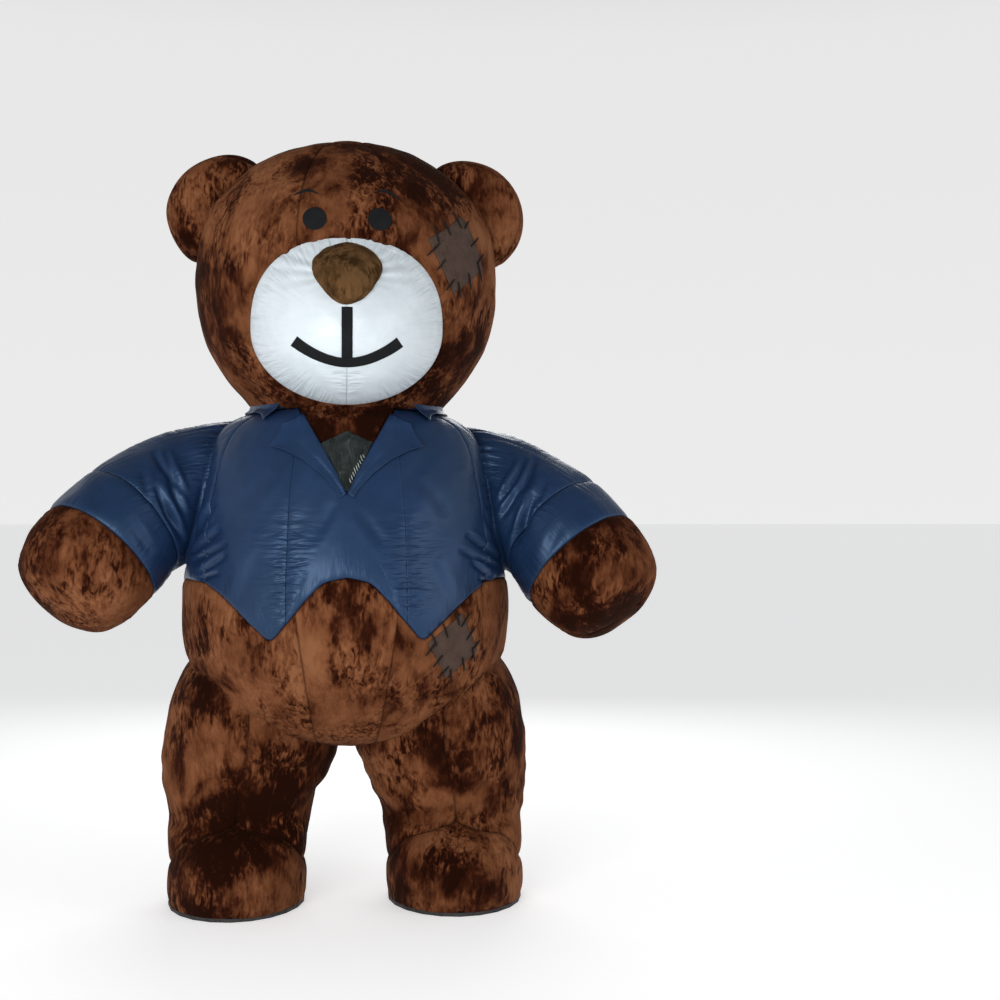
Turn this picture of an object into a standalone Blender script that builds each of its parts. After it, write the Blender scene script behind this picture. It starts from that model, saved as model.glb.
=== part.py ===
"""An air-filled bear costume that stands on its own soles, sewn from thin cloth walls.

Metres, +Z up. The bear faces -Y and its left side is at +X. Angles round a form start at the
front (0 degrees) and grow towards the left side (90) and the back (180).
Every cloth piece is a wall: outer points worked out from the section tables below, and inner
points moved in along the surface normal. Seams keep a gap, so no two pieces overlap.
"""

import math
from collections import namedtuple

import bmesh
import bpy
import numpy as np

# Driving sizes
PLUSH = 0.004  # wall of the brown plush, pile included
SATIN = 0.002  # wall of the blue satin, the white muzzle and the window
FELT = 0.0025  # patches, eyes, brows and mouth
SEAM_GAP = 0.0003
UNDER = 0.006  # how far a piece starts inside what it is trimmed against
NECK_HEIGHT = 1.655
CROTCH = (0.07, 0.525)  # y and z of the lowest point of the body
MIDDLE_SHIFT = (0.00751, -0.00482, 0.0)  # brings the middle of the whole costume over the origin

Round = namedtuple("Round", "height half_width front back")
BODY = [
    Round(NECK_HEIGHT, 0.310, -0.235, 0.410),
    Round(1.640, 0.360, -0.250, 0.425),
    Round(1.620, 0.405, -0.265, 0.440),
    Round(1.580, 0.450, -0.288, 0.467),
    Round(1.500, 0.490, -0.333, 0.510),
    Round(1.400, 0.518, -0.378, 0.550),
    Round(1.300, 0.535, -0.415, 0.582),
    Round(1.150, 0.550, -0.460, 0.610),
    Round(1.000, 0.555, -0.478, 0.618),
    Round(0.850, 0.546, -0.450, 0.592),
    Round(0.750, 0.516, -0.403, 0.545),
    Round(0.650, 0.440, -0.325, 0.470),
    Round(0.580, 0.330, -0.225, 0.365),
    Round(0.540, 0.190, -0.095, 0.235),
    Round(CROTCH[1], 0.0, CROTCH[0], CROTCH[0]),
]
HEAD = [
    Round(2.576, 0.0, 0.050, 0.050),
    Round(2.568, 0.115, -0.060, 0.160),
    Round(2.545, 0.205, -0.145, 0.245),
    Round(2.510, 0.285, -0.215, 0.315),
    Round(2.430, 0.390, -0.310, 0.405),
    Round(2.325, 0.470, -0.395, 0.490),
    Round(2.195, 0.508, -0.448, 0.545),
    Round(2.050, 0.506, -0.468, 0.556),
    Round(1.900, 0.478, -0.440, 0.542),
    Round(1.780, 0.410, -0.375, 0.505),
    Round(1.700, 0.345, -0.290, 0.452),
    Round(NECK_HEIGHT, 0.310, -0.235, 0.410),
]
Limb = namedtuple("Limb", "height inner outer front back")
LEG = [
    Limb(0.950, 0.120, 0.480, -0.180, 0.360),
    Limb(0.850, 0.085, 0.530, -0.205, 0.400),
    Limb(0.750, 0.050, 0.572, -0.222, 0.412),
    Limb(0.650, 0.026, 0.602, -0.226, 0.405),
    Limb(0.550, 0.022, 0.620, -0.215, 0.388),
    Limb(0.450, 0.058, 0.622, -0.190, 0.355),
    Limb(0.350, 0.105, 0.612, -0.160, 0.328),
    Limb(0.290, 0.125, 0.602, -0.142, 0.315),
    Limb(0.250, 0.130, 0.600, -0.190, 0.316),
    Limb(0.200, 0.134, 0.600, -0.235, 0.325),
    Limb(0.130, 0.136, 0.600, -0.263, 0.338),
    Limb(0.050, 0.140, 0.600, -0.266, 0.343),
    Limb(0.0123, 0.146, 0.594, -0.256, 0.336),
]
SOLE_THICK = 0.012
SOLE_WELT = 0.005  # how far the sole stands out round the foot
Tube = namedtuple("Tube", "x y z across deep")
ARM = [
    Tube(0.250, 0.140, 1.420, 0.235, 0.195),
    Tube(0.520, 0.100, 1.376, 0.233, 0.200),
    Tube(0.700, 0.000, 1.301, 0.213, 0.210),
    Tube(0.808, -0.095, 1.182, 0.218, 0.215),
    Tube(0.853, -0.130, 1.124, 0.213, 0.211),
    Tube(0.904, -0.160, 1.061, 0.187, 0.186),
    Tube(0.934, -0.176, 1.024, 0.128, 0.128),
    Tube(0.944, -0.180, 1.012, 0.060, 0.060),
    Tube(0.946, -0.181, 1.010, 0.000, 0.000),
]
ARM_SAG = {1: 0.036, -1: 0.0}  # how much lower each paw hangs
CUFF_TOP = 0.78  # where the cuff begins, as a share of the sleeve
CUFF_ROW = 3  # the arm section at the sleeve's end

# Seams round the body, in degrees from the front
FRONT_SEAM, HEM_POINT, BAND_SEAM, BACK_SEAM = 20, 26, 57, 120
Hem = namedtuple("Hem", "angle height")
HEM = [
    Hem(0, 1.114), Hem(7, 1.098), Hem(13, 1.046), Hem(20, 0.968), Hem(HEM_POINT, 0.916),
    Hem(32, 0.956), Hem(41, 1.022), Hem(50, 1.070), Hem(BAND_SEAM, 1.092), Hem(75, 1.098),
    Hem(90, 1.075), Hem(BACK_SEAM, 1.020), Hem(180, 1.035),
]  # fmt: skip
Seam = namedtuple("Seam", "angle height")
ANKLE = [Seam(0, 0.288), Seam(45, 0.240), Seam(90, 0.135), Seam(135, 0.165), Seam(180, 0.210)]

# The neck opening, in the front view
OPENING_TOP, OPENING_HALF, OPENING_FOOT = 1.66, 0.152, 1.385
WINDOW_PEAK, WINDOW_SHOULDER = 1.588, 1.546

# Head pieces
BROW_SEAM = 18  # degrees from the front, a seam each side of the forehead
MUZZLE_MIDDLE = 1.895
MUZZLE_HALF, MUZZLE_RISE, MUZZLE_FALL = 0.307, 0.280, 0.224
MUZZLE_DEPTH, MUZZLE_DROOP = 0.180, 0.25
EYE_X, EYE_Z, EYE_RADIUS = 0.101, 2.237, 0.037
NOSE_Z, NOSE_HALF, NOSE_RISE, NOSE_FALL, NOSE_DEPTH = 2.082, 0.109, 0.078, 0.101, 0.062
EAR_X, EAR_Y, EAR_Z, EAR_RADIUS = 0.408, 0.050, 2.338, 0.189
EAR_BAND, EAR_DEPTH = 0.090, 0.100  # gusset width, and half the ear's whole thickness

COLOURS = {
    "plush": ((0.155, 0.058, 0.024), 0.85),
    "satin": ((0.030, 0.060, 0.135), 0.35),
    "white": ((0.80, 0.84, 0.86), 0.45),
    "black": ((0.012, 0.013, 0.015), 0.7),
    "nose": ((0.105, 0.055, 0.022), 0.85),
    "patch": ((0.085, 0.062, 0.055), 0.8),
    "tab": ((0.42, 0.43, 0.42), 0.4),
    "window": ((0.045, 0.055, 0.052), 0.15),
    "sole": ((0.020, 0.019, 0.020), 0.6),
}


def clear_scene():
    for thing in list(bpy.data.objects):
        bpy.data.objects.remove(thing)


def make_collection(name):
    made = bpy.data.collections.new(name)
    bpy.context.scene.collection.children.link(made)
    return made


def make_material(name):
    colour, roughness = COLOURS[name]
    material = bpy.data.materials.new(name)
    material.use_nodes = True
    shader = material.node_tree.nodes["Principled BSDF"]
    shader.inputs["Base Color"].default_value = (*colour, 1.0)
    shader.inputs["Roughness"].default_value = roughness
    return material


def unit(vectors):
    length = np.linalg.norm(vectors, axis=-1, keepdims=True)
    return vectors / np.maximum(length, 1e-12)


class Curve:
    """A smooth run through a table's rows that never overshoots them (a monotone cubic)."""

    def __init__(self, places, rows):
        self.places, self.rows = np.asarray(places, float), np.asarray(rows, float)
        steps = np.diff(self.places)[:, None]
        rises = np.diff(self.rows, axis=0) / steps
        slopes = np.zeros_like(self.rows)
        slopes[0], slopes[-1] = rises[0], rises[-1]
        before, after = rises[:-1], rises[1:]
        same_way = before * after > 0
        blend = 2 * before * after / np.where(same_way, before + after, 1)
        slopes[1:-1] = np.where(same_way, blend, 0)
        self.slopes = slopes

    def at(self, place):
        place = np.asarray(place, float)
        inside = np.clip(place, self.places[0], self.places[-1])
        row = np.clip(np.searchsorted(self.places, inside) - 1, 0, len(self.places) - 2)
        step = (self.places[row + 1] - self.places[row])[..., None]
        t = ((inside - self.places[row])[..., None]) / step
        start, end = self.rows[row], self.rows[row + 1]
        rise, fall = self.slopes[row] * step, self.slopes[row + 1] * step
        return (
            (2 * t**3 - 3 * t**2 + 1) * start
            + (t**3 - 2 * t**2 + t) * rise
            + (3 * t**2 - 2 * t**3) * end
            + (t**3 - t**2) * fall
        )


def along_table(rows, scale):
    """The distance along a table of sections, from their sizes."""
    rows = np.asarray(rows, float) * scale
    return np.concatenate([[0], np.cumsum(np.linalg.norm(np.diff(rows, axis=0), axis=1))])


class RoundForm:
    """Level oval sections from top to bottom: the body, the head or a leg."""

    def __init__(self, sections, side=0):
        self.side = side
        if side:
            table = [(s.height, (s.inner + s.outer) / 2, (s.outer - s.inner) / 2, s.front, s.back)
                     for s in sections]  # fmt: skip
        else:
            table = [(s.height, 0.0, s.half_width, s.front, s.back) for s in sections]
        self.places = along_table(table, (1, 0, 1, 0.5, 0.5))
        self.curve = Curve(self.places, table)
        self.end = self.places[-1]
        self.dense = np.linspace(0, self.end, 4000)
        self.heights = self.curve.at(self.dense)[:, 0]

    def place_at(self, height):
        """The distance down the form at which it has this height."""
        return np.interp(-np.asarray(height, float), -self.heights, self.dense)

    def points(self, angle, place):
        angle, place = np.broadcast_arrays(np.radians(angle), place)
        height, centre, half, front, back = np.moveaxis(self.curve.at(place), -1, 0)
        x = (self.side or 1) * (centre + half * np.sin(angle))
        y = (front + back) / 2 - (back - front) / 2 * np.cos(angle)
        return np.stack([x, y, height], axis=-1)

    def normals(self, angle, place):
        turn, step = 0.05, 0.0005
        angle, place = np.broadcast_arrays(np.asarray(angle, float), place)
        inside = np.clip(place, 4 * step, self.end - 4 * step)
        round_it = self.points(angle + turn, inside) - self.points(angle - turn, inside)
        up = self.points(angle, inside - step) - self.points(angle, inside + step)
        found = unit(np.cross(round_it, up)) * (self.side or 1)
        half = self.curve.at(place)[..., 2]
        top = np.array([0, 0, 1.0]) * np.where(place < self.end / 2, 1, -1)[..., None]
        return np.where((half < 1e-6)[..., None], top, found)

    def front_y(self, x, height):
        """The y of the form's front at this x and height."""
        _, centre, half, front, back = np.moveaxis(self.curve.at(self.place_at(height)), -1, 0)
        share = np.clip((np.asarray(x) - centre) / half, -1, 1)
        return (front + back) / 2 - (back - front) / 2 * np.sqrt(1 - share**2)


class TubeForm:
    """An arm: oval rings square to a bent centre line."""

    def __init__(self, sections, side):
        self.side = side
        table = np.array(sections)
        share = table[:, 0] / table[-1, 0]
        table[:, 0] -= 0.5 * ARM_SAG[side] * share
        table[:, 2] -= ARM_SAG[side] * share**1.5
        self.places = along_table(table, (1, 1, 1, 1, 0))
        self.curve = Curve(self.places, table)
        self.end = self.places[-1]
        self.sleeve_end = self.places[CUFF_ROW]

    def points(self, angle, place):
        """Angle 0 is the arm's outer, upper side and 90 its front."""
        angle, place = np.broadcast_arrays(np.radians(angle), place)
        row = self.curve.at(place)
        inside = np.clip(place, 0.001, self.sleeve_end + 0.06)
        run = unit(self.curve.at(inside + 0.001)[..., :3] - self.curve.at(inside - 0.001)[..., :3])
        upper = unit(np.cross(run, np.array([0, -1.0, 0])))
        front = unit(np.cross(upper, run))
        front = front * np.where(front[..., 1:2] > 0, -1, 1)
        out = (
            row[..., :3]
            + row[..., 3:4] * np.cos(angle)[..., None] * upper
            + row[..., 4:5] * np.sin(angle)[..., None] * front
        )
        out[..., 0] *= self.side
        return out

    def normals(self, angle, place):
        turn, step = 0.5, 0.001
        angle, place = np.broadcast_arrays(np.asarray(angle, float), place)
        inside = np.clip(place, 2 * step, self.end - 3 * step)
        round_it = self.points(angle + turn, inside) - self.points(angle - turn, inside)
        along = self.points(angle, inside + step) - self.points(angle, inside - step)
        found = unit(np.cross(round_it, along))
        centre = self.curve.at(inside)[..., :3] * (self.side, 1, 1)
        away = np.sum(found * (self.points(angle, inside) - centre), axis=-1, keepdims=True)
        found = found * np.where(away < 0, -1, 1)
        tip = self.curve.at(np.array([self.end]))[0, :3] - self.curve.at(np.array([self.end - 0.05]))[0, :3]
        tip = unit(tip * (self.side, 1, 1))
        return np.where((place > self.end - 1e-6)[..., None], tip, found)


def grid_of(form, angles, places):
    """Points and normals over rows of places and columns of angles."""
    places = np.asarray(places, float)
    if places.ndim == 1:
        places = places[:, None]
    angles = np.asarray(angles, float)[None, :]
    places, angles = np.broadcast_arrays(places, angles)
    return form.points(angles, places), form.normals(angles, places)


def drawn_in(points, gap, top, foot, sides):
    """The grid with its edges moved in, for the gap at a seam."""
    moved = points.copy()
    if top:
        moved[0] += unit(points[1] - points[0]) * gap
    if foot:
        moved[-1] += unit(points[-2] - points[-1]) * gap
    if sides:
        moved[:, 0] += unit(points[:, 1] - points[:, 0]) * gap
        moved[:, -1] += unit(points[:, -2] - points[:, -1]) * gap
    return moved


def mesh_of(name, points, faces):
    """A mesh from points and faces, with points that coincide made one, facing out."""
    keys, order, chosen = {}, [], []
    for point in points:
        key = tuple(round(float(v), 7) for v in point)
        if key not in keys:
            keys[key] = len(order)
            order.append(key)
        chosen.append(keys[key])
    built = bmesh.new()
    verts = [built.verts.new(point) for point in order]
    made = set()
    for face in faces:
        corners = [chosen[i] for i in face]
        corners = [c for k, c in enumerate(corners) if c != corners[k - 1]]
        if len(set(corners)) == len(corners) > 2 and frozenset(corners) not in made:
            made.add(frozenset(corners))
            built.faces.new([verts[c] for c in corners])
    bmesh.ops.recalc_face_normals(built, faces=built.faces)
    if built.calc_volume(signed=True) < 0:
        bmesh.ops.reverse_faces(built, faces=built.faces)
    mesh = bpy.data.meshes.new(name)
    built.to_mesh(mesh)
    built.free()
    return mesh


def lattice(rows, columns, first, wrap):
    """Two triangles for each cell of a grid whose points start at first."""
    faces = []
    for row in range(rows - 1):
        for column in range(columns - (0 if wrap else 1)):
            beside = (column + 1) % columns
            a, b = first + row * columns + column, first + row * columns + beside
            c, d = a + columns, b + columns
            faces += [(a, c, d), (a, d, b)]
    return faces


def place_object(name, mesh, collection, material=None):
    made = bpy.data.objects.new(name, mesh)
    collection.objects.link(made)
    if material:
        made.data.materials.append(MATERIALS[material])
        made.data.shade_smooth()
        made.data.set_sharp_from_angle(angle=math.radians(50))
    return made


def wall(name, outer, inner, material, wrap=False):
    """A cloth piece: two grids of points and the rims between them."""
    rows, columns = outer.shape[:2]
    points = np.concatenate([outer.reshape(-1, 3), inner.reshape(-1, 3)])
    second = rows * columns
    faces = lattice(rows, columns, 0, wrap) + [f[::-1] for f in lattice(rows, columns, second, wrap)]
    spans = [[(row, column) for column in range(columns)] for row in (0, rows - 1)]
    if wrap:
        spans = [span + span[:1] for span in spans]
    else:
        spans += [[(row, column) for row in range(rows)] for column in (0, columns - 1)]
    for span in spans:
        for (r0, c0), (r1, c1) in zip(span, span[1:]):
            a, b = r0 * columns + c0, r1 * columns + c1
            faces.append((a, b, second + b, second + a))
    return place_object(name, mesh_of(name, points, faces), PARTS, material)


RIM_ONLY = (True, False, False)
TRIMMED = (False, True, True)  # a top edge that another form cuts, so it has no gap of its own


def panel(name, points, normals, thick, material, wrap=False, edges=(True, True, True)):
    """A wall with its outer side on a form, and a seam gap at its top, foot and sides."""
    outer = drawn_in(points, SEAM_GAP / 2, edges[0], edges[1], edges[2] and not wrap)
    return wall(name, outer, outer - normals * thick, material, wrap)


def closed_mesh(name, points):
    """A grid that wraps round, closed at both ends by a fan."""
    rows, columns = points.shape[:2]
    ends = [points[0].mean(axis=0), points[-1].mean(axis=0)]
    every = np.concatenate([points.reshape(-1, 3), np.array(ends)])
    faces, first = lattice(rows, columns, 0, True), rows * columns
    last = (rows - 1) * columns
    for column in range(columns):
        beside = (column + 1) % columns
        faces.append((first, column, beside))
        faces.append((first + 1, last + beside, last + column))
    return mesh_of(name, every, faces)


def as_cutter(made):
    made.hide_render = True
    made.display_type = "WIRE"
    return made


def closed_form(name, points):
    return as_cutter(place_object(name, closed_mesh(name, points), CUTTERS))


def solid_piece(name, points, material):
    return place_object(name, closed_mesh(name, points), PARTS, material)


def prism(name, outline, y_low, y_high):
    """A cutter: an outline of x and z run straight through in y."""
    count = len(outline)
    points = [(x, y, z) for y in (y_low, y_high) for x, z in outline]
    faces = [tuple(range(count)), tuple(range(2 * count - 1, count - 1, -1))]
    for k in range(count):
        beside = (k + 1) % count
        faces.append((k, beside, count + beside, count + k))
    return as_cutter(place_object(name, mesh_of(name, np.array(points), faces), CUTTERS))


def cut(piece, *cutters, keep=False):
    """Takes cutters off a piece, or keeps only what is inside them."""
    for cutter in cutters:
        modifier = piece.modifiers.new(f"by_{cutter.name}"[:60], "BOOLEAN")
        modifier.operation = "INTERSECT" if keep else "DIFFERENCE"
        modifier.solver = "EXACT"
        modifier.object = cutter
    return piece


def spaced(*stops_and_counts):
    """Angles through the given stops, with that many even steps after each."""
    found = [float(stops_and_counts[0])]
    for count, stop in zip(stops_and_counts[1::2], stops_and_counts[2::2]):
        found += list(np.linspace(found[-1], stop, count + 1)[1:])
    return np.array(found)


def both_sides(half):
    """Angles from minus the last to the last, when half runs from 0."""
    return np.concatenate([-half[:0:-1], half])


def build_body():
    """The jacket above the hem and the plush below it, on one grid of seams and rows."""
    half = spaced(0, 2, 13, 1, FRONT_SEAM, 1, HEM_POINT, 1, 32, 3, BAND_SEAM, 6, BACK_SEAM, 5, 180)
    angles = both_sides(half)
    hem_at = Curve([h.angle for h in HEM], [[h.height] for h in HEM])
    hem = body.place_at(hem_at.at(np.abs(angles))[:, 0])
    rise, fall = np.linspace(0, 1, 9)[:, None], np.linspace(0, 1, 9)[:, None]
    rise = 0.5 * rise + 0.5 * rise**1.6  # closer rows at the shoulder
    upper_places = hem[None, :] * rise
    lower_places = hem[None, :] + (body.end - hem[None, :]) * fall
    upper, upper_n = grid_of(body, angles, upper_places)
    lower, lower_n = grid_of(body, angles, lower_places)

    skin = np.concatenate([upper[:, :-1], lower[1:, :-1]])
    skin_n = np.concatenate([upper_n[:, :-1], lower_n[1:, :-1]])
    body_solid = closed_form("body_solid", skin + skin_n * SEAM_GAP)

    column = {float(a): k for k, a in enumerate(angles)}

    def upper_panel(name, start, stop):
        taken = slice(column[float(start)], column[float(stop)] + 1)
        return panel(name, upper[:, taken], upper_n[:, taken], SATIN, "satin")

    fronts = [
        upper_panel("jacket_front", -FRONT_SEAM, FRONT_SEAM),
        upper_panel("jacket_front_left", FRONT_SEAM, BAND_SEAM),
        upper_panel("jacket_front_right", -BAND_SEAM, -FRONT_SEAM),
    ]
    bands = {
        1: upper_panel("jacket_side_left", BAND_SEAM, BACK_SEAM),
        -1: upper_panel("jacket_side_right", -BACK_SEAM, -BAND_SEAM),
    }
    upper_panel("jacket_back_left", BACK_SEAM, 180)
    upper_panel("jacket_back_right", -180, -BACK_SEAM)

    slope = OPENING_HALF / (OPENING_TOP - OPENING_FOOT)
    top = OPENING_TOP + 0.04
    opening = [(-slope * (top - OPENING_FOOT), top), (0, OPENING_FOOT), (slope * (top - OPENING_FOOT), top)]
    wide = slope * (WINDOW_SHOULDER - OPENING_FOOT)
    window = [(-wide, WINDOW_SHOULDER), (0, OPENING_FOOT), (wide, WINDOW_SHOULDER), (0, WINDOW_PEAK)]
    opening_cutter = prism("opening", opening, -0.7, 0.0)
    for front in fronts:
        cut(front, opening_cutter)

    def inset(outline):
        middle = np.mean(outline, axis=0)
        return [tuple(np.array(p) + unit(middle - np.array(p)) * 3 * SEAM_GAP) for p in outline]

    taken = slice(column[-float(BAND_SEAM)], column[float(BAND_SEAM)] + 1)
    chest, chest_n = upper[:7, taken], upper_n[:7, taken]
    neck = panel("neck_front", chest, chest_n, PLUSH, "plush")
    cut(neck, prism("opening_inset", inset(opening), -0.7, 0.0), keep=True)
    cut(neck, prism("window_hole", window, -0.7, 0.0))
    pane = panel("window", chest, chest_n, SATIN, "window")
    cut(pane, prism("window_inset", inset(window), -0.7, 0.0), keep=True)

    lower_wall = drawn_in(lower[:, :-1], SEAM_GAP / 2, True, False, False)
    inner_wall = lower_wall - lower_n[:, :-1] * PLUSH
    narrow, broad, tall, deep = 0.083, 0.190, 1.2, 0.45
    gore = [(-broad, tall), (-narrow, deep), (narrow, deep), (broad, tall)]
    gap = SEAM_GAP / 2
    inset_gore = [(x - math.copysign(gap, x), z) for x, z in gore]
    front_limit = CROTCH[0] - gap
    centre = wall("belly_centre", lower_wall, inner_wall, "plush", wrap=True)
    cut(centre, prism("gore_inset", inset_gore, -0.8, front_limit), keep=True)
    seats = {}
    gore_cutter = prism("gore", gore, -0.8, 0.2)
    for side, word in ((1, "left"), (-1, "right")):
        half_box = [(side * gap, deep), (side * 0.8, deep), (side * 0.8, tall), (side * gap, tall)]
        belly = wall(f"belly_{word}", lower_wall, inner_wall, "plush", wrap=True)
        cut(belly, prism(f"front_half_{word}", half_box, -0.8, front_limit), keep=True)
        cut(belly, gore_cutter)
        seat = wall(f"seat_{word}", lower_wall, inner_wall, "plush", wrap=True)
        cut(seat, prism(f"back_half_{word}", half_box, CROTCH[0] + gap, 0.9), keep=True)
        seats[side] = (belly, seat)
    return body_solid, bands, centre, seats


def build_leg(side, word, body_solid, centre, seats):
    leg = RoundForm(LEG, side)
    angles = spaced(0, 11, 180, 11, 360)
    ankle = Curve([s.angle for s in ANKLE], [[s.height] for s in ANKLE])
    folded = np.minimum(angles, 360 - angles)
    seam = leg.place_at(ankle.at(folded)[:, 0])
    share = np.linspace(0, 1, 7)[:, None]
    thigh, thigh_n = grid_of(leg, angles, seam[None, :] * share)
    foot_share = np.linspace(0, 1, 5)[:, None]
    foot, foot_n = grid_of(leg, angles, seam[None, :] + (leg.end - seam[None, :]) * foot_share)
    half = len(angles) // 2
    halves = {f"leg_outer_{word}": slice(0, half + 1), f"leg_inner_{word}": slice(half, None)}
    for name, taken in halves.items():
        piece = panel(name, thigh[:, taken], thigh_n[:, taken], PLUSH, "plush", edges=TRIMMED)
        cut(piece, body_solid)
    panel(f"foot_{word}", foot[:, :-1], foot_n[:, :-1], PLUSH, "plush", wrap=True, edges=(True, False, True))
    hollow = closed_form(f"leg_hollow_{word}", (thigh - thigh_n * (PLUSH + SEAM_GAP))[:, :-1])
    cut(centre, hollow)
    for piece in seats[side]:
        cut(piece, hollow)
    rim, rim_n = foot[-1, :-1], foot_n[-1, :-1]
    level = rim + rim_n * (1, 1, 0) * SOLE_WELT
    low, high = level * (1, 1, 0), level * (1, 1, 0) + (0, 0, SOLE_THICK)
    middle = low.mean(axis=0)
    rings = [high * 0 + middle + (0, 0, SOLE_THICK), high, low, low * 0 + middle]
    solid_piece(f"sole_{word}", np.stack(rings), "sole")


def build_arm(side, word, body_solid, band):
    arm = TubeForm(ARM, side)
    angles = spaced(0, 10, 180, 10, 360)
    cuff = arm.sleeve_end * CUFF_TOP
    sleeve, sleeve_n = grid_of(arm, angles, np.linspace(0, cuff, 7))
    half = len(angles) // 2
    halves = {f"sleeve_front_{word}": slice(0, half + 1), f"sleeve_back_{word}": slice(half, None)}
    for name, taken in halves.items():
        piece = panel(name, sleeve[:, taken], sleeve_n[:, taken], SATIN, "satin", edges=TRIMMED)
        cut(piece, body_solid)
    around = angles[:-1]
    cuff_grid, cuff_n = grid_of(arm, around, np.linspace(cuff, arm.sleeve_end, 3))
    panel(f"cuff_{word}", cuff_grid, cuff_n, SATIN, "satin", wrap=True)
    paw_places = arm.sleeve_end + (arm.end - arm.sleeve_end) * np.array([0, 0.24, 0.46, 0.66, 0.84, 1.0])
    paw, paw_n = grid_of(arm, around, paw_places)
    panel(f"paw_{word}", paw, paw_n, PLUSH, "plush", wrap=True, edges=(True, False, True))
    hollow = closed_form(f"arm_hollow_{word}", sleeve[:, :-1] - sleeve_n[:, :-1] * (SATIN + SEAM_GAP))
    cut(band, hollow)


def muzzle_reach(turn):
    """How far the muzzle's outline is from its middle, in the front view, at an angle from +X."""
    up = np.sin(turn) > 0
    power, rise = np.where(up, 2.4, 2.0), np.where(up, MUZZLE_RISE, MUZZLE_FALL)
    wide = (np.abs(np.cos(turn)) / MUZZLE_HALF) ** power
    return (wide + (np.abs(np.sin(turn)) / rise) ** power) ** (-1 / power)


def muzzle_point(x, z, out=0.0):
    """A point of the muzzle's dome over this place of the front view."""
    turn = np.arctan2(z - MUZZLE_MIDDLE, x)
    share = np.clip(np.hypot(x, z - MUZZLE_MIDDLE) / muzzle_reach(turn), 0, 1)
    upper = (1 + np.sin(turn)) / 2  # the dome slopes gently above and is full below
    swell = (1 - share ** (2.7 - 1.1 * upper)) ** (0.45 + 0.75 * upper) * MUZZLE_DEPTH
    start = np.where(share > 0.999, UNDER, 0.0)
    return np.stack([x, head.front_y(x, z) + start - swell - out, z - MUZZLE_DROOP * swell], axis=-1)


def surface_normals(points, wrap):
    """Normals of a grid of points, from its neighbours, facing -Y."""
    if wrap:
        across = np.roll(points, -1, axis=1) - np.roll(points, 1, axis=1)
    else:
        across = np.gradient(points, axis=1)
    found = unit(np.cross(across, np.gradient(points, axis=0)))
    return found if np.median(found[..., 1]) < 0 else -found


def muzzle_grid(turns, shares):
    turn, share = np.meshgrid(np.radians(turns), shares)
    reach = muzzle_reach(turn) * share
    return muzzle_point(reach * np.cos(turn), MUZZLE_MIDDLE + reach * np.sin(turn))


def build_head():
    half = spaced(0, 2, BROW_SEAM, 2, 42, 4, 90, 4, 142, 3, 180)
    angles = both_sides(half)
    skull, skull_n = grid_of(head, angles, head.end * np.linspace(0, 1, 14) ** 1.05)
    head_solid = closed_form("head_solid", skull[:, :-1] + skull_n[:, :-1] * SEAM_GAP)
    column = {round(float(a)): k for k, a in enumerate(angles)}

    ear_solids = {}
    for side, word in ((1, "left"), (-1, "right")):
        ear_solids[side] = build_ear(side, word, head_solid)

    turns, shares = np.linspace(-90, 270, 25), np.array([1.0, 0.985, 0.93, 0.82, 0.64, 0.4, 0.0])
    dome = muzzle_grid(turns, shares)
    dome_n = surface_normals(dome, False)
    dome_n[:, 0] = dome_n[:, -1] = unit(dome_n[:, 0] + dome_n[:, -1])
    dome_n[-1] = dome_n[-1].mean(axis=0)
    dome_n[0] = unit(dome_n[0] * (1, 0, 1))
    middle = len(turns) // 2
    for word, taken in (("left", slice(0, middle + 1)), ("right", slice(middle, None))):
        sides_only = (False, False, True)
        piece = panel(f"muzzle_{word}", dome[:, taken], dome_n[:, taken], SATIN, "white", edges=sides_only)
        cut(piece, head_solid)
    back = dome[:1] + (0, 0.3, 0)
    hole = np.concatenate([back, dome])[:, :-1]
    hole_n = np.concatenate([dome_n[:1], dome_n])[:, :-1]
    muzzle_hollow = closed_form("muzzle_hollow", hole - hole_n * (SATIN + SEAM_GAP))
    muzzle_solid = closed_form("muzzle_solid", hole + hole_n * SEAM_GAP)

    down, behind = slice(None), 9  # the row behind the muzzle where forehead and chin end
    seams = [("forehead", -BROW_SEAM, BROW_SEAM, slice(0, behind)),
             ("chin", -BROW_SEAM, BROW_SEAM, slice(behind, None)),
             ("head_side_left", BROW_SEAM, 90, down), ("head_side_right", -90, -BROW_SEAM, down),
             ("head_rear_left", 90, 142, down), ("head_rear_right", -142, -90, down),
             ("head_back", 142, 218, down)]  # fmt: skip
    skull, skull_n = (np.concatenate([grid, grid[:, 1:]], axis=1) for grid in (skull, skull_n))
    for name, start, stop, rows in seams:
        taken = slice(column[start], column[start] + 1 + column_count(angles, start, stop))
        edges = (False, name != "forehead", True)
        piece = panel(name, skull[rows, taken], skull_n[rows, taken], PLUSH, "plush", edges=edges)
        if min(abs(start), abs(stop)) < 90:
            cut(piece, muzzle_hollow)
        if "side" in name or "rear" in name:
            cut(piece, ear_solids[1 if "left" in name else -1])
    return head_solid, muzzle_solid


def column_count(angles, start, stop):
    """How many columns on from start the angle stop is, past the back if need be."""
    twice = np.concatenate([angles, angles[1:] + 360])
    return int(np.argmin(np.abs(twice - stop)) - np.argmin(np.abs(twice - start)))


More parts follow.
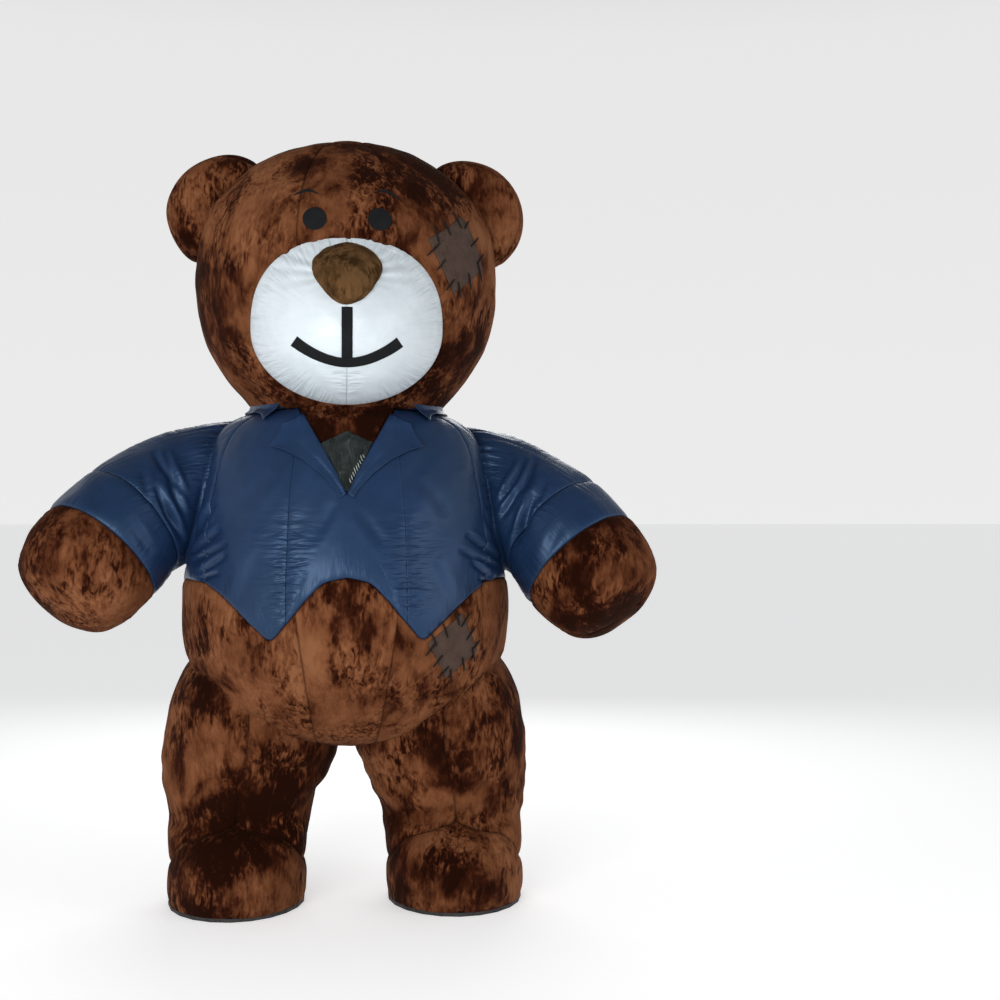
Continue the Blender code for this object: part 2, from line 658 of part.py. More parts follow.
def build_ear(side, word, head_solid):
    """Two domed faces and the gusset band between them, open to the head."""
    turns = np.linspace(0, 360, 21)[:-1]
    turn = np.radians(turns)
    rim = np.stack([np.cos(turn), np.zeros(20), np.sin(turn)], axis=-1) * (side, 1, 1)
    centre = np.array([side * EAR_X, EAR_Y, EAR_Z])
    edge = EAR_BAND / 2
    shares = np.array([1.0, 0.86, 0.62, 0.32, 0.0])
    swell = edge + (EAR_DEPTH - edge) * (1 - shares**2.2) ** 0.6
    solid_rows = []
    for toward, end in ((-1, "front"), (1, "back")):
        points = centre + rim[None] * (EAR_RADIUS * shares)[:, None, None]
        points = points + np.array([0, toward, 0]) * swell[:, None, None]
        lift = np.array([0.55, 0.35, 0.2, 0.1, 0.0])[:, None, None]
        normals = unit(rim[None] * lift + np.array([0, toward, 0]) * (1.05 - lift))
        normals[0] = unit(rim + np.array([0, toward * 0.35, 0]))
        piece = panel(f"ear_{end}_{word}", points, normals, PLUSH, "plush", wrap=True, edges=RIM_ONLY)
        cut(piece, head_solid)
        solid_rows.append((points, normals))
    bulge = np.array([0.0, 0.007, 0.0])
    across = np.array([-edge, 0.0, edge])
    band = centre + rim[None] * (EAR_RADIUS + bulge)[:, None, None]
    band = band + np.array([0, 1.0, 0]) * across[:, None, None]
    tilt = np.array([-0.35, 0.0, 0.35])[:, None, None]
    band_n = unit(rim[None] + np.array([0, 1.0, 0]) * tilt)
    piece = panel(f"ear_gusset_{word}", band, band_n, PLUSH, "plush", wrap=True)
    cut(piece, head_solid)
    (front, front_n), (rear, rear_n) = solid_rows
    every = np.concatenate([front[::-1], band[1:2], rear])
    every_n = np.concatenate([front_n[::-1], band_n[1:2], rear_n])
    return closed_form(f"ear_hollow_{word}", every - every_n * (PLUSH + SEAM_GAP))


def laid_on(name, outer, sink, form, material):
    """A thin piece lying on a form: its back is cut to the form's own faces."""
    return cut(wall(name, outer, outer + sink, material), form)


def build_face(head_solid, muzzle_solid):
    rings = np.array([1.0, 0.55, 0.0])
    share, turn = np.meshgrid(rings, np.radians(np.linspace(0, 360, 13)[:-1]), indexing="ij")
    for side, word in ((1, "left"), (-1, "right")):
        x, z = side * EYE_X + EYE_RADIUS * share * np.cos(turn), EYE_Z + EYE_RADIUS * share * np.sin(turn)
        disc = np.stack([x, head.front_y(x, z) - FELT, z], axis=-1)
        eye = wall(f"eye_{word}", disc, disc + (0, UNDER, 0), "black", wrap=True)
        cut(eye, head_solid)

        run = np.linspace(-1, 1, 7)
        arch = 2.319 + 0.014 * (1 - run**2) - 0.010 * run * (1 if side > 0 else -0.2)
        thick = 0.0012 + 0.0040 * (1 - run**2)
        brow_x = side * 0.128 + 0.038 * run
        rows = []
        for offset in (1, -1):
            z = arch + offset * thick
            rows.append(np.stack([brow_x, head.front_y(brow_x, z) - FELT, z], axis=-1))
        laid_on(f"brow_{word}", np.stack(rows), np.array([0, UNDER, 0]), head_solid, "black")

    build_nose(muzzle_solid)
    foot, half, lip = 1.816, 0.162, 0.0135
    bar_x, bar_z = np.meshgrid(np.array([-0.0165, 0.0165]), np.linspace(1.976, foot + lip + 0.002, 4))
    bar = muzzle_point(bar_x, bar_z, FELT)
    laid_on("mouth_bar", bar, np.array([0, UNDER, 0]), muzzle_solid, "black")
    run = np.linspace(-1, 1, 12)
    line = foot + 0.060 * np.abs(run) ** 1.9
    above = muzzle_point((half - lip * 0.75) * run, line + lip, FELT)
    below = muzzle_point((half + lip * 0.75) * run, line - lip, FELT)
    laid_on("mouth_smile", np.stack([above, below]), np.array([0, UNDER, 0]), muzzle_solid, "black")


def build_nose(muzzle_solid):
    """A stuffed pad, wide above and narrow below."""
    share, turn = np.meshgrid(np.array([1.0, 0.97, 0.85, 0.6, 0.3, 0.0]),
                              np.radians(np.linspace(0, 360, 19)[:-1]), indexing="ij")  # fmt: skip
    up = np.sin(turn) > 0
    taper = np.where(up, 1.0, np.maximum(0.0, 1 - 0.30 * np.abs(np.sin(turn))))
    x = share * NOSE_HALF * np.cos(turn) * taper
    z = NOSE_Z + share * np.where(up, NOSE_RISE, NOSE_FALL) * np.sin(turn)
    swell = NOSE_DEPTH * (1 - share**2.4) ** 0.6
    front = muzzle_point(x, z, 0.006) - np.stack([swell * 0, swell, swell * 0], axis=-1)
    back = muzzle_point(x, z, 0.0) + (0, UNDER, 0)
    every = np.concatenate([back[::-1], front])
    cut(solid_piece("nose", every, "nose"), muzzle_solid)


def patch_on(name, form, angle, height, size, tilt, cutter, material):
    """A square of felt on a form, turned by tilt degrees."""
    width, tall = size
    u, v = np.meshgrid(np.linspace(-0.5, 0.5, 5), np.linspace(0.5, -0.5, 5))
    c, s = math.cos(math.radians(tilt)), math.sin(math.radians(tilt))
    across, up = u * width * c - v * tall * s, u * width * s + v * tall * c
    middle = form.place_at(height)
    half = form.curve.at(np.array([middle]))[0, 2]
    angles, places = angle + np.degrees(across / half), middle - up
    points, normals = form.points(angles, places), form.normals(angles, places)
    outer, inner = points + normals * FELT, points - normals * UNDER
    return cut(wall(name, outer, inner, material), cutter)


def build_collar(body_solid, head_solid):
    """The turned collar round the neck, and the two lapels that roll from the opening."""
    ahead = np.array([41, 46, 54, 65, 78, 91, 104, 117, 130, 143, 156, 168])
    angles = np.concatenate([ahead, [180], 360 - ahead[::-1]])
    corner = np.exp(-(((139 - np.abs(180 - angles)) / 8) ** 1.2))
    Turn = namedtuple("Turn", "share rise lift")  # share of the fall, rise over the seam, stand-off
    rows = [
        Turn(0.0, 0.003, 0.0060), Turn(0.0, 0.016, 0.0190), Turn(0.0, 0.014, 0.0280),
        Turn(0.40, 0.0, 0.0200), Turn(1.0, 0.0, 0.0120),
    ]  # fmt: skip
    share, rise, lift = np.array(rows).T[:, :, None]
    points, normals = grid_of(body, angles, share * (0.032 + 0.071 * corner[None, :]))
    level = unit(normals * (1, 1, 0.25))
    under = points + level * lift[..., None] + np.array([0, 0, 1.0]) * rise[..., None]
    out = np.gradient(under, axis=0)
    round_it = np.gradient(under, axis=1)
    collar = wall("collar", under + unit(np.cross(out, round_it)) * -SATIN, under, "satin")
    cut(collar, body_solid, head_solid)

    Roll = namedtuple("Roll", "inner_x inner_z outer_x outer_z")
    lapel = [
        Roll(0.139, 1.636, 0.200, 1.600),
        Roll(0.117, 1.596, 0.218, 1.565),
        Roll(0.097, 1.560, 0.243, 1.527),
        Roll(0.074, 1.519, 0.196, 1.512),
        Roll(0.052, 1.478, 0.138, 1.482),
        Roll(0.030, 1.438, 0.082, 1.437),
        Roll(0.013, 1.400, 0.036, 1.386),
        Roll(0.002, 1.378, 0.024, 1.362),
    ]
    table = np.array(lapel)
    across = np.linspace(0, 1, 5)[None, :]
    for side, word in ((1, "left"), (-1, "right")):
        x = table[:, 0:1] + (table[:, 2:3] - table[:, 0:1]) * across
        z = table[:, 1:2] + (table[:, 3:4] - table[:, 1:2]) * across
        lift = 0.001 + 0.013 * across**1.6 * np.linspace(1, 0.35, len(lapel))[:, None]
        y = body.front_y(x, z) - lift
        under = np.stack([side * x, y, z], axis=-1)
        outer = under - np.array([0, SATIN, 0]) - unit(under * (1, 0, 0)) * -SATIN * 0.5
        cut(wall(f"lapel_{word}", outer, under, "satin"), body_solid, head_solid)


def build_tail(body_solid):
    """The free flap that hangs from the jacket's back hem, with soft standing folds."""
    Drop = namedtuple("Drop", "height spread away")
    rows = [
        Drop(1.030, 60.0, 0.0005), Drop(0.985, 57.0, 0.006), Drop(0.920, 54.0, 0.018),
        Drop(0.830, 49.0, 0.050), Drop(0.740, 44.0, 0.088), Drop(0.650, 39.5, 0.108),
        Drop(0.565, 35.0, 0.104),
    ]  # fmt: skip
    table = np.array(rows)
    across = np.linspace(-1, 1, 21)[None, :]
    down = np.linspace(0, 1, len(rows))[:, None]
    rounded = 0.110 * np.abs(across) ** 2.6 * down**2
    height = table[:, 0:1] + rounded
    angle = 180 + across * table[:, 1:2]
    hem = Curve([h.angle for h in HEM], [[h.height] for h in HEM])
    height[0] = hem.at(180 - np.abs(180 - angle[0]))[:, 0] - 0.002
    level = np.maximum(height, 0.93)
    ring = body.points(angle, body.place_at(level))
    outward = body.normals(angle, body.place_at(level)) * (1, 1, 0)
    fold = 0.014 * down**0.8 * np.cos(across * math.pi * 3)
    drift = np.interp(height, table[::-1, 0], table[::-1, 2]) - (level - height) * 0.30
    points = ring + unit(outward) * (np.maximum(drift, 0.0005) + fold * (drift > 0.004))[..., None]
    points[..., 2] = height
    points[0, 1::2] = (points[0, 0:-1:2] + points[0, 2::2]) / 2  # onto the body's own faces
    outer_n = surface_normals(points * (1, -1, 1), False) * (1, -1, 1)
    cut(wall("coat_tail", points + outer_n * SATIN, points, "satin"), body_solid)


def build_placket(body_solid):
    """The plain strip over the closed way in, down the middle of the back."""
    angles = np.array([177.2, 180.0, 182.8])
    heights = np.linspace(1.585, 1.062, 7)
    points, normals = grid_of(body, angles, body.place_at(heights))
    outer = points + normals * (SATIN + 0.001)
    cut(wall("back_placket", outer, points - normals * UNDER, "satin"), body_solid)


clear_scene()
PARTS = make_collection("bear_costume")
CUTTERS = make_collection("cutters")
MATERIALS = {name: make_material(name) for name in COLOURS}
body, head = RoundForm(BODY), RoundForm(HEAD)

body_cutter, side_bands, belly_gore, lower_panels = build_body()
for bear_side, bear_word in ((1, "left"), (-1, "right")):
    build_leg(bear_side, bear_word, body_cutter, belly_gore, lower_panels)
    build_arm(bear_side, bear_word, body_cutter, side_bands[bear_side])
head_cutter, muzzle_cutter = build_head()
build_face(head_cutter, muzzle_cutter)
patch_on("patch_cheek", head, 45, 2.155, (0.190, 0.195), 32, head_cutter, "patch")
patch_on("patch_belly", body, 38.5, 0.887, (0.158, 0.150), 35, body_cutter, "patch")
patch_on("tab_back", body, 146, 1.125, (0.105, 0.110), 14, body_cutter, "tab")
build_collar(body_cutter, head_cutter)
build_tail(body_cutter)
build_placket(body_cutter)
for thing in bpy.data.objects:
    thing.location = MIDDLE_SHIFT
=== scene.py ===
# %% [markdown]
# # A bear costume held out by air
# The costume is a bag of short-pile plush with a satin jacket sewn into it. A blower keeps it
# full, so each panel swells between its seams and each seam pulls in, with small gathers across
# it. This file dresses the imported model: every cloth node gets a finer shell on the same form.

# %% Load the frame and note its box
import math
from collections import namedtuple

import bmesh
import bpy
import numpy as np
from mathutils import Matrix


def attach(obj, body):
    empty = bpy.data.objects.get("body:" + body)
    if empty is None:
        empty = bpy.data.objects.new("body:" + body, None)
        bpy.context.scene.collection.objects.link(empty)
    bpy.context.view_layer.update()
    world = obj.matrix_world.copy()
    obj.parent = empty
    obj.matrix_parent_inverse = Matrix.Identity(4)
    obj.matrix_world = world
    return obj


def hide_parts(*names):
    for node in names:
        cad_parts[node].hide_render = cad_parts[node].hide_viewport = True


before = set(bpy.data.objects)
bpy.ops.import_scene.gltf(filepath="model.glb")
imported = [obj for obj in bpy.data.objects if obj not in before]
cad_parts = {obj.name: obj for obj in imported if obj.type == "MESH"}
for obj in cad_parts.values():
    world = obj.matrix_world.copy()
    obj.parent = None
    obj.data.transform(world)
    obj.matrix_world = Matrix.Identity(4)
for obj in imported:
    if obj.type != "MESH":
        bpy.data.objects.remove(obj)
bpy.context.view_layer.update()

rng = np.random.default_rng(7)
SHIFT = np.array([0.00751, -0.00482, 0.0])  # the model's middle stands over the origin

# %% [markdown]
# ## The forms
# A patternmaker thinks of the body, head and legs as level ovals, and of an arm as ovals along a
# bent line. The same few measured sections that gave the solids are run through a smooth curve
# here, so a fine shell lies where its node lies, to within the depth of a fold.

# %% Section tables
NECK_HEIGHT = 1.655
CROTCH = (0.07, 0.525)
Round = namedtuple("Round", "height half_width front back")
BODY = [
    Round(NECK_HEIGHT, 0.310, -0.235, 0.410), Round(1.640, 0.360, -0.250, 0.425),
    Round(1.620, 0.405, -0.265, 0.440), Round(1.580, 0.450, -0.288, 0.467),
    Round(1.500, 0.490, -0.333, 0.510), Round(1.400, 0.518, -0.378, 0.550),
    Round(1.300, 0.535, -0.415, 0.582), Round(1.150, 0.550, -0.460, 0.610),
    Round(1.000, 0.555, -0.478, 0.618), Round(0.850, 0.546, -0.450, 0.592),
    Round(0.750, 0.516, -0.403, 0.545), Round(0.650, 0.440, -0.325, 0.470),
    Round(0.580, 0.330, -0.225, 0.365), Round(0.540, 0.190, -0.095, 0.235),
    Round(CROTCH[1], 0.0, CROTCH[0], CROTCH[0]),
]  # fmt: skip
HEAD = [
    Round(2.576, 0.0, 0.050, 0.050), Round(2.568, 0.115, -0.060, 0.160),
    Round(2.545, 0.205, -0.145, 0.245), Round(2.510, 0.285, -0.215, 0.315),
    Round(2.430, 0.390, -0.310, 0.405), Round(2.325, 0.470, -0.395, 0.490),
    Round(2.195, 0.508, -0.448, 0.545), Round(2.050, 0.506, -0.468, 0.556),
    Round(1.900, 0.478, -0.440, 0.542), Round(1.780, 0.410, -0.375, 0.505),
    Round(1.700, 0.345, -0.290, 0.452), Round(NECK_HEIGHT, 0.310, -0.235, 0.410),
]  # fmt: skip
Limb = namedtuple("Limb", "height inner outer front back")
LEG = [
    Limb(0.950, 0.120, 0.480, -0.180, 0.360), Limb(0.850, 0.085, 0.530, -0.205, 0.400),
    Limb(0.750, 0.050, 0.572, -0.222, 0.412), Limb(0.650, 0.026, 0.602, -0.226, 0.405),
    Limb(0.550, 0.022, 0.620, -0.215, 0.388), Limb(0.450, 0.058, 0.622, -0.190, 0.355),
    Limb(0.350, 0.105, 0.612, -0.160, 0.328), Limb(0.290, 0.125, 0.602, -0.142, 0.315),
    Limb(0.250, 0.130, 0.600, -0.190, 0.316), Limb(0.200, 0.134, 0.600, -0.235, 0.325),
    Limb(0.130, 0.136, 0.600, -0.263, 0.338), Limb(0.050, 0.140, 0.600, -0.266, 0.343),
    Limb(0.0123, 0.146, 0.594, -0.256, 0.336),
]  # fmt: skip
Tube = namedtuple("Tube", "x y z across deep")
ARM = [
    Tube(0.250, 0.140, 1.420, 0.235, 0.195), Tube(0.520, 0.100, 1.376, 0.233, 0.200),
    Tube(0.700, 0.000, 1.301, 0.213, 0.210), Tube(0.808, -0.095, 1.182, 0.218, 0.215),
    Tube(0.853, -0.130, 1.124, 0.213, 0.211), Tube(0.904, -0.160, 1.061, 0.187, 0.186),
    Tube(0.934, -0.176, 1.024, 0.128, 0.128), Tube(0.944, -0.180, 1.012, 0.060, 0.060),
    Tube(0.946, -0.181, 1.010, 0.000, 0.000),
]  # fmt: skip
ARM_SAG = {1: 0.036, -1: 0.0}
CUFF_TOP, CUFF_ROW = 0.78, 3
FRONT_SEAM, BAND_SEAM, BACK_SEAM, BROW_SEAM = 20, 57, 120, 18
HEM = [(0, 1.114), (7, 1.098), (13, 1.046), (20, 0.968), (26, 0.916), (32, 0.956), (41, 1.022),
       (50, 1.070), (57, 1.092), (75, 1.098), (90, 1.075), (120, 1.020), (180, 1.035)]  # fmt: skip
ANKLE = [(0, 0.288), (45, 0.240), (90, 0.135), (135, 0.165), (180, 0.210)]
SIDES = {1: "left", -1: "right"}
DEGREE = 0.0092  # metres of cloth for each degree round the body
ARM_DEGREE = 0.0038  # and round an arm


# %% Curves and forms
def unit(vectors):
    length = np.linalg.norm(vectors, axis=-1, keepdims=True)
    return vectors / np.maximum(length, 1e-12)


class Curve:
    """A monotone cubic through a table's rows."""

    def __init__(self, places, rows):
        self.places, self.rows = np.asarray(places, float), np.asarray(rows, float)
        rises = np.diff(self.rows, axis=0) / np.diff(self.places)[:, None]
        self.slopes = np.zeros_like(self.rows)
        self.slopes[0], self.slopes[-1] = rises[0], rises[-1]
        before, after = rises[:-1], rises[1:]
        same_way = before * after > 0
        self.slopes[1:-1] = np.where(same_way, 2 * before * after / np.where(same_way, before + after, 1), 0)

    def at(self, place):
        inside = np.clip(np.asarray(place, float), self.places[0], self.places[-1])
        row = np.clip(np.searchsorted(self.places, inside) - 1, 0, len(self.places) - 2)
        step = (self.places[row + 1] - self.places[row])[..., None]
        t = (inside - self.places[row])[..., None] / step
        rise, fall = self.slopes[row] * step, self.slopes[row + 1] * step
        return (
            (2 * t**3 - 3 * t**2 + 1) * self.rows[row] + (t**3 - 2 * t**2 + t) * rise
            + (3 * t**2 - 2 * t**3) * self.rows[row + 1] + (t**3 - t**2) * fall
        )  # fmt: skip


def along_table(rows, scale):
    rows = np.asarray(rows, float) * scale
    return np.concatenate([[0], np.cumsum(np.linalg.norm(np.diff(rows, axis=0), axis=1))])


class RoundForm:
    """Level ovals from top to bottom. Angle 0 is the front, 90 the left side (outer, on a leg)."""

    def __init__(self, sections, side=0):
        self.side = side or 1
        if side:
            table = [(s.height, (s.inner + s.outer) / 2, (s.outer - s.inner) / 2, s.front, s.back)
                     for s in sections]  # fmt: skip
        else:
            table = [(s.height, 0.0, s.half_width, s.front, s.back) for s in sections]
        self.curve = Curve(along_table(table, (1, 0, 1, 0.5, 0.5)), table)
        self.end = self.curve.places[-1]
        self.dense = np.linspace(0, self.end, 4000)
        self.heights = self.curve.at(self.dense)[:, 0]

    def place_at(self, height):
        return np.interp(-np.asarray(height, float), -self.heights, self.dense)

    def points(self, angle, place):
        angle, place = np.broadcast_arrays(np.radians(angle), place)
        height, centre, half, front, back = np.moveaxis(self.curve.at(place), -1, 0)
        x = self.side * (centre + half * np.sin(angle))
        y = (front + back) / 2 - (back - front) / 2 * np.cos(angle)
        return np.stack([x, y, height], axis=-1)

    def normals(self, angle, place):
        turn, step = 0.05, 0.0005
        angle, place = np.broadcast_arrays(np.asarray(angle, float), place)
        inside = np.clip(place, 4 * step, self.end - 4 * step)
        round_it = self.points(angle + turn, inside) - self.points(angle - turn, inside)
        up = self.points(angle, inside - step) - self.points(angle, inside + step)
        found = unit(np.cross(round_it, up)) * self.side
        top = np.array([0, 0, 1.0]) * np.where(place < self.end / 2, 1, -1)[..., None]
        return np.where((self.curve.at(place)[..., 2] < 1e-6)[..., None], top, found)

    def front_y(self, x, height):
        _, centre, half, front, back = np.moveaxis(self.curve.at(self.place_at(height)), -1, 0)
        share = np.clip((np.asarray(x) - centre) / half, -1, 1)
        return (front + back) / 2 - (back - front) / 2 * np.sqrt(1 - share**2)

    def spot(self, points):
        """Distance outside the form, angle round it and place down it, for points anywhere."""
        x, y, z = np.moveaxis(points, -1, 0)
        place = self.place_at(z)
        _, centre, half, front, back = np.moveaxis(self.curve.at(place), -1, 0)
        half, deep = np.maximum(half, 1e-3), np.maximum((back - front) / 2, 1e-3)
        across, along = (x * self.side - centre) / half, (y - (front + back) / 2) / deep
        ratio = np.hypot(across, along)
        beyond = np.maximum(z - self.heights[0], 0) + np.maximum(self.heights[-1] - z, 0)
        return (ratio - 1) * half + beyond, np.degrees(np.arctan2(across, -along)), place


class TubeForm:
    """Ovals along an arm. Angle 0 is the outer, upper side and 90 the front."""

    def __init__(self, side):
        self.side = side
        table = np.array(ARM)
        share = table[:, 0] / table[-1, 0]
        table[:, 0] -= 0.5 * ARM_SAG[side] * share
        table[:, 2] -= ARM_SAG[side] * share**1.5
        self.curve = Curve(along_table(table, (1, 1, 1, 1, 0)), table)
        self.end = self.curve.places[-1]
        self.sleeve_end = self.curve.places[CUFF_ROW]
        self.steps = np.linspace(0, self.end - 0.03, 60)

    def frames(self, place):
        row = self.curve.at(place)
        inside = np.clip(place, 0.001, self.sleeve_end + 0.06)
        run = unit(self.curve.at(inside + 0.001)[..., :3] - self.curve.at(inside - 0.001)[..., :3])
        upper = unit(np.cross(run, np.array([0, -1.0, 0])))
        front = unit(np.cross(upper, run))
        return row, upper, front * np.where(front[..., 1:2] > 0, -1, 1)

    def points(self, angle, place):
        angle, place = np.broadcast_arrays(np.radians(angle), place)
        row, upper, front = self.frames(place)
        out = (row[..., :3] + row[..., 3:4] * np.cos(angle)[..., None] * upper
               + row[..., 4:5] * np.sin(angle)[..., None] * front)  # fmt: skip
        out[..., 0] *= self.side
        return out

    def normals(self, angle, place):
        turn, step = 0.5, 0.001
        angle, place = np.broadcast_arrays(np.asarray(angle, float), place)
        inside = np.clip(place, 2 * step, self.end - 3 * step)
        round_it = self.points(angle + turn, inside) - self.points(angle - turn, inside)
        lengthwise = self.points(angle, inside + step) - self.points(angle, inside - step)
        found = unit(np.cross(round_it, lengthwise))
        centre = self.curve.at(inside)[..., :3] * (self.side, 1, 1)
        away = np.sum(found * (self.points(angle, inside) - centre), axis=-1, keepdims=True)
        found = found * np.where(away < 0, -1, 1)
        ends = self.curve.at(np.array([self.end - 0.05, self.end]))[:, :3] * (self.side, 1, 1)
        return np.where((place > self.end - 1e-6)[..., None], unit(ends[1] - ends[0]), found)

    def spot(self, points):
        flat = points.reshape(-1, 3) * (self.side, 1, 1)
        row, upper, front = self.frames(self.steps)
        near = np.argmin(np.linalg.norm(flat[:, None] - row[None, :, :3], axis=2), axis=1)
        away = flat - row[near, :3]
        up = np.sum(away * upper[near], axis=1) / row[near, 3]
        fore = np.sum(away * front[near], axis=1) / row[near, 4]
        gap = (np.hypot(up, fore) - 1) * row[near, 3]
        found = gap, np.degrees(np.arctan2(fore, up)), self.steps[near]
        return tuple(v.reshape(points.shape[:-1]) for v in found)


body, head = RoundForm(BODY), RoundForm(HEAD)
legs = {side: RoundForm(LEG, side) for side in SIDES}
arms = {side: TubeForm(side) for side in SIDES}
hem_curve = Curve([a for a, _ in HEM], [[h] for _, h in HEM])
ankle_curve = Curve([a for a, _ in ANKLE], [[h] for _, h in ANKLE])


def fold_angle(angle):
    """Degrees from the front, 0 to 180, on either side."""
    return np.abs((np.asarray(angle, float) + 180) % 360 - 180)


def hem_place(angle):
    return body.place_at(hem_curve.at(fold_angle(angle))[..., 0])


print("body", round(body.end, 3), "head", round(head.end, 3), "arm", round(arms[1].end, 3))

# %% [markdown]
# ## Seams and gathers
# A seam under air pressure sits in a sharp valley, and its stitches draw the cloth into short,
# uneven pleats that die out into the panel. Both are worked out from the distance to the seam and
# the distance along it, so two panels that share a seam meet in the same valley.


# %% Soft noise, valleys and gathers
def slow(along, size, seed):
    """Smooth noise along a line, from -1 to 1."""
    draw = np.random.default_rng(seed)
    rates, phases = draw.uniform(0.5, 1.6, 5), draw.uniform(0, 2 * math.pi, 5)
    return sum(np.sin(along / size * rate * 2 * math.pi + phase) for rate, phase in zip(rates, phases)) / 3.2


def waves(points, size, seed, count=9):
    """Smooth noise in space, about -1 to 1."""
    draw = np.random.default_rng(seed)
    total = np.zeros(points.shape[:-1])
    for _ in range(count):
        way = unit(draw.normal(size=3)) * 2 * math.pi / size * draw.uniform(0.6, 1.5)
        total = total + np.sin(points @ way + draw.uniform(0, 2 * math.pi))
    return total / math.sqrt(count * 1.6)


def valley(distance, depth, width):
    return -depth * np.exp(-np.maximum(distance, 0) / width)


def gathers(distance, along, height, reach, spacing, seed):
    """Uneven pleats square to a seam, longest where the stitches pull hardest."""
    length = reach * (0.50 + 0.45 * slow(along, 4.5 * spacing, seed))
    pull = 0.62 + 0.38 * slow(along, 9 * spacing, seed + 1)
    phase = along / spacing + 0.42 * slow(along, 3.3 * spacing, seed + 2)
    pleat = np.abs(np.sin(math.pi * phase)) ** 0.7 - 0.62
    drop = np.maximum(distance, 0) / np.maximum(length, 0.15 * reach)
    start = 1 - 0.75 * np.exp(-np.maximum(distance, 0) / 0.010)
    return height * pull * pleat * start * np.exp(-(drop**1.35))


class Sewing:
    """The seams' shapes added up over a grid, and for each point the nearest seam."""

    def __init__(self, points, puff=0.004):
        shape = points.shape[:-1]
        self.off, self.along, self.tight = np.full(shape, puff), np.zeros(shape), np.zeros(shape)
        self.gap, self.next = np.full(shape, 0.5), np.full(shape, 0.5)

    def seam(self, gap, along, seed, depth=0.010, width=0.018, height=0.004, reach=0.05, spacing=0.03,
             tight=0.5):  # fmt: skip
        gap, along = np.abs(gap) + 0 * self.off, along + 0 * self.off
        self.off = self.off + valley(gap, depth, width) + gathers(gap, along, height, reach, spacing, seed)
        nearer = gap < self.gap
        self.next = np.where(nearer, self.gap, np.minimum(self.next, gap))
        self.along = np.where(nearer, along + seed, self.along)
        self.tight = np.where(nearer, tight, self.tight)
        self.gap = np.minimum(gap, self.gap)

    def pull(self):
        """How hard the nearest seam draws the cloth in, fading out half-way to the next seam."""
        return self.tight * np.clip((self.next - self.gap) / 0.035, 0, 1)


def crease(x, z, start, end, depth, width):
    """A straight soft fold in the front view between two points of x and z."""
    start, end = np.array(start), np.array(end)
    run = end - start
    t = ((x - start[0]) * run[0] + (z - start[1]) * run[1]) / (run @ run)
    inside = np.clip(t, 0, 1)
    off = np.hypot(x - start[0] - inside * run[0], z - start[1] - inside * run[1])
    side = np.sign((x - start[0]) * run[1] - (z - start[1]) * run[0]) * off / width
    taper = np.sin(math.pi * np.clip(t * 0.9 + 0.05, 0, 1)) ** 0.7
    return -depth * taper * (np.exp(-(side**2)) - 0.45 * np.exp(-((side - 1.6) ** 2)))


# %% [markdown]
# ## Plush, satin and the small cloths
# Crushed plush shows broad patches where the pile lies one way or the other, with small flecks
# inside them. The satin is smooth and takes long soft highlights. Each finish is a node material
# that works in the model's own space, so it holds from every side.


# %% Material helpers
def new_material(name, roughness, **sockets):
    material = bpy.data.materials.new(name)
    material.use_nodes = True
    tree = material.node_tree
    shader = tree.nodes["Principled BSDF"]
    shader.inputs["Roughness"].default_value = roughness
    for socket, value in sockets.items():
        shader.inputs[socket.replace("_", " ")].default_value = value
    return material, tree, shader


def linear(red, green, blue):
    """A colour as a screen shows it, 0 to 255, as scene-linear values."""
    shares = [c / 255 for c in (red, green, blue)]
    return [c / 12.92 if c <= 0.04045 else ((c + 0.055) / 1.055) ** 2.4 for c in shares] + [1.0]


def add(tree, kind, **settings):
    made = tree.nodes.new("ShaderNode" + kind)
    for name, value in settings.items():
        setattr(made, name, value)
    return made


def mapped_position(tree, scale=(1, 1, 1), turn=(0, 0, 0)):
    where = add(tree, "NewGeometry")
    mapping = add(tree, "Mapping")
    mapping.inputs["Scale"].default_value = scale
    mapping.inputs["Rotation"].default_value = turn
    tree.links.new(where.outputs["Position"], mapping.inputs["Vector"])
    return mapping.outputs["Vector"]


def noise(tree, vector, scale, detail=3.0, distortion=0.0, nap=None):
    made = add(tree, "TexNoise", noise_dimensions="4D" if nap else "3D")
    made.inputs["Scale"].default_value = scale
    made.inputs["Detail"].default_value = detail
    made.inputs["Distortion"].default_value = distortion
    tree.links.new(vector, made.inputs["Vector"])
    if nap:
        tree.links.new(nap, made.inputs["W"])
    return made.outputs["Fac"]


def mix(tree, one, other, share):
    """one * (1 - share) + other * share, for two values."""
    made = add(tree, "Mix", data_type="FLOAT")
    made.inputs["Factor"].default_value = share
    tree.links.new(one, made.inputs["A"])
    tree.links.new(other, made.inputs["B"])
    return made.outputs["Result"]


def ramp(tree, value, stops, smooth=False):
    made = add(tree, "ValToRGB")
    made.color_ramp.interpolation = "EASE" if smooth else "LINEAR"
    elements = made.color_ramp.elements
    while len(elements) < len(stops):
        elements.new(0.5)
    for element, (position, colour) in zip(elements, stops):
        element.position = position
        element.color = colour
    tree.links.new(value, made.inputs["Fac"])
    return made.outputs["Color"]


def bump(tree, shader, height, strength, distance):
    made = add(tree, "Bump")
    made.inputs["Strength"].default_value = strength
    made.inputs["Distance"].default_value = distance
    tree.links.new(height, made.inputs["Height"])
    tree.links.new(made.outputs["Normal"], shader.inputs["Normal"])


def attribute(tree, name):
    return add(tree, "Attribute", attribute_name=name).outputs["Fac"]


def sums(tree, operation, one, other=0.0):
    """A math node on sockets or plain numbers."""
    made = add(tree, "Math", operation=operation)
    for socket, value in zip(made.inputs, (one, other)):
        if isinstance(value, (int, float)):
            socket.default_value = value
        else:
            tree.links.new(value, socket)
    return made.outputs["Value"]


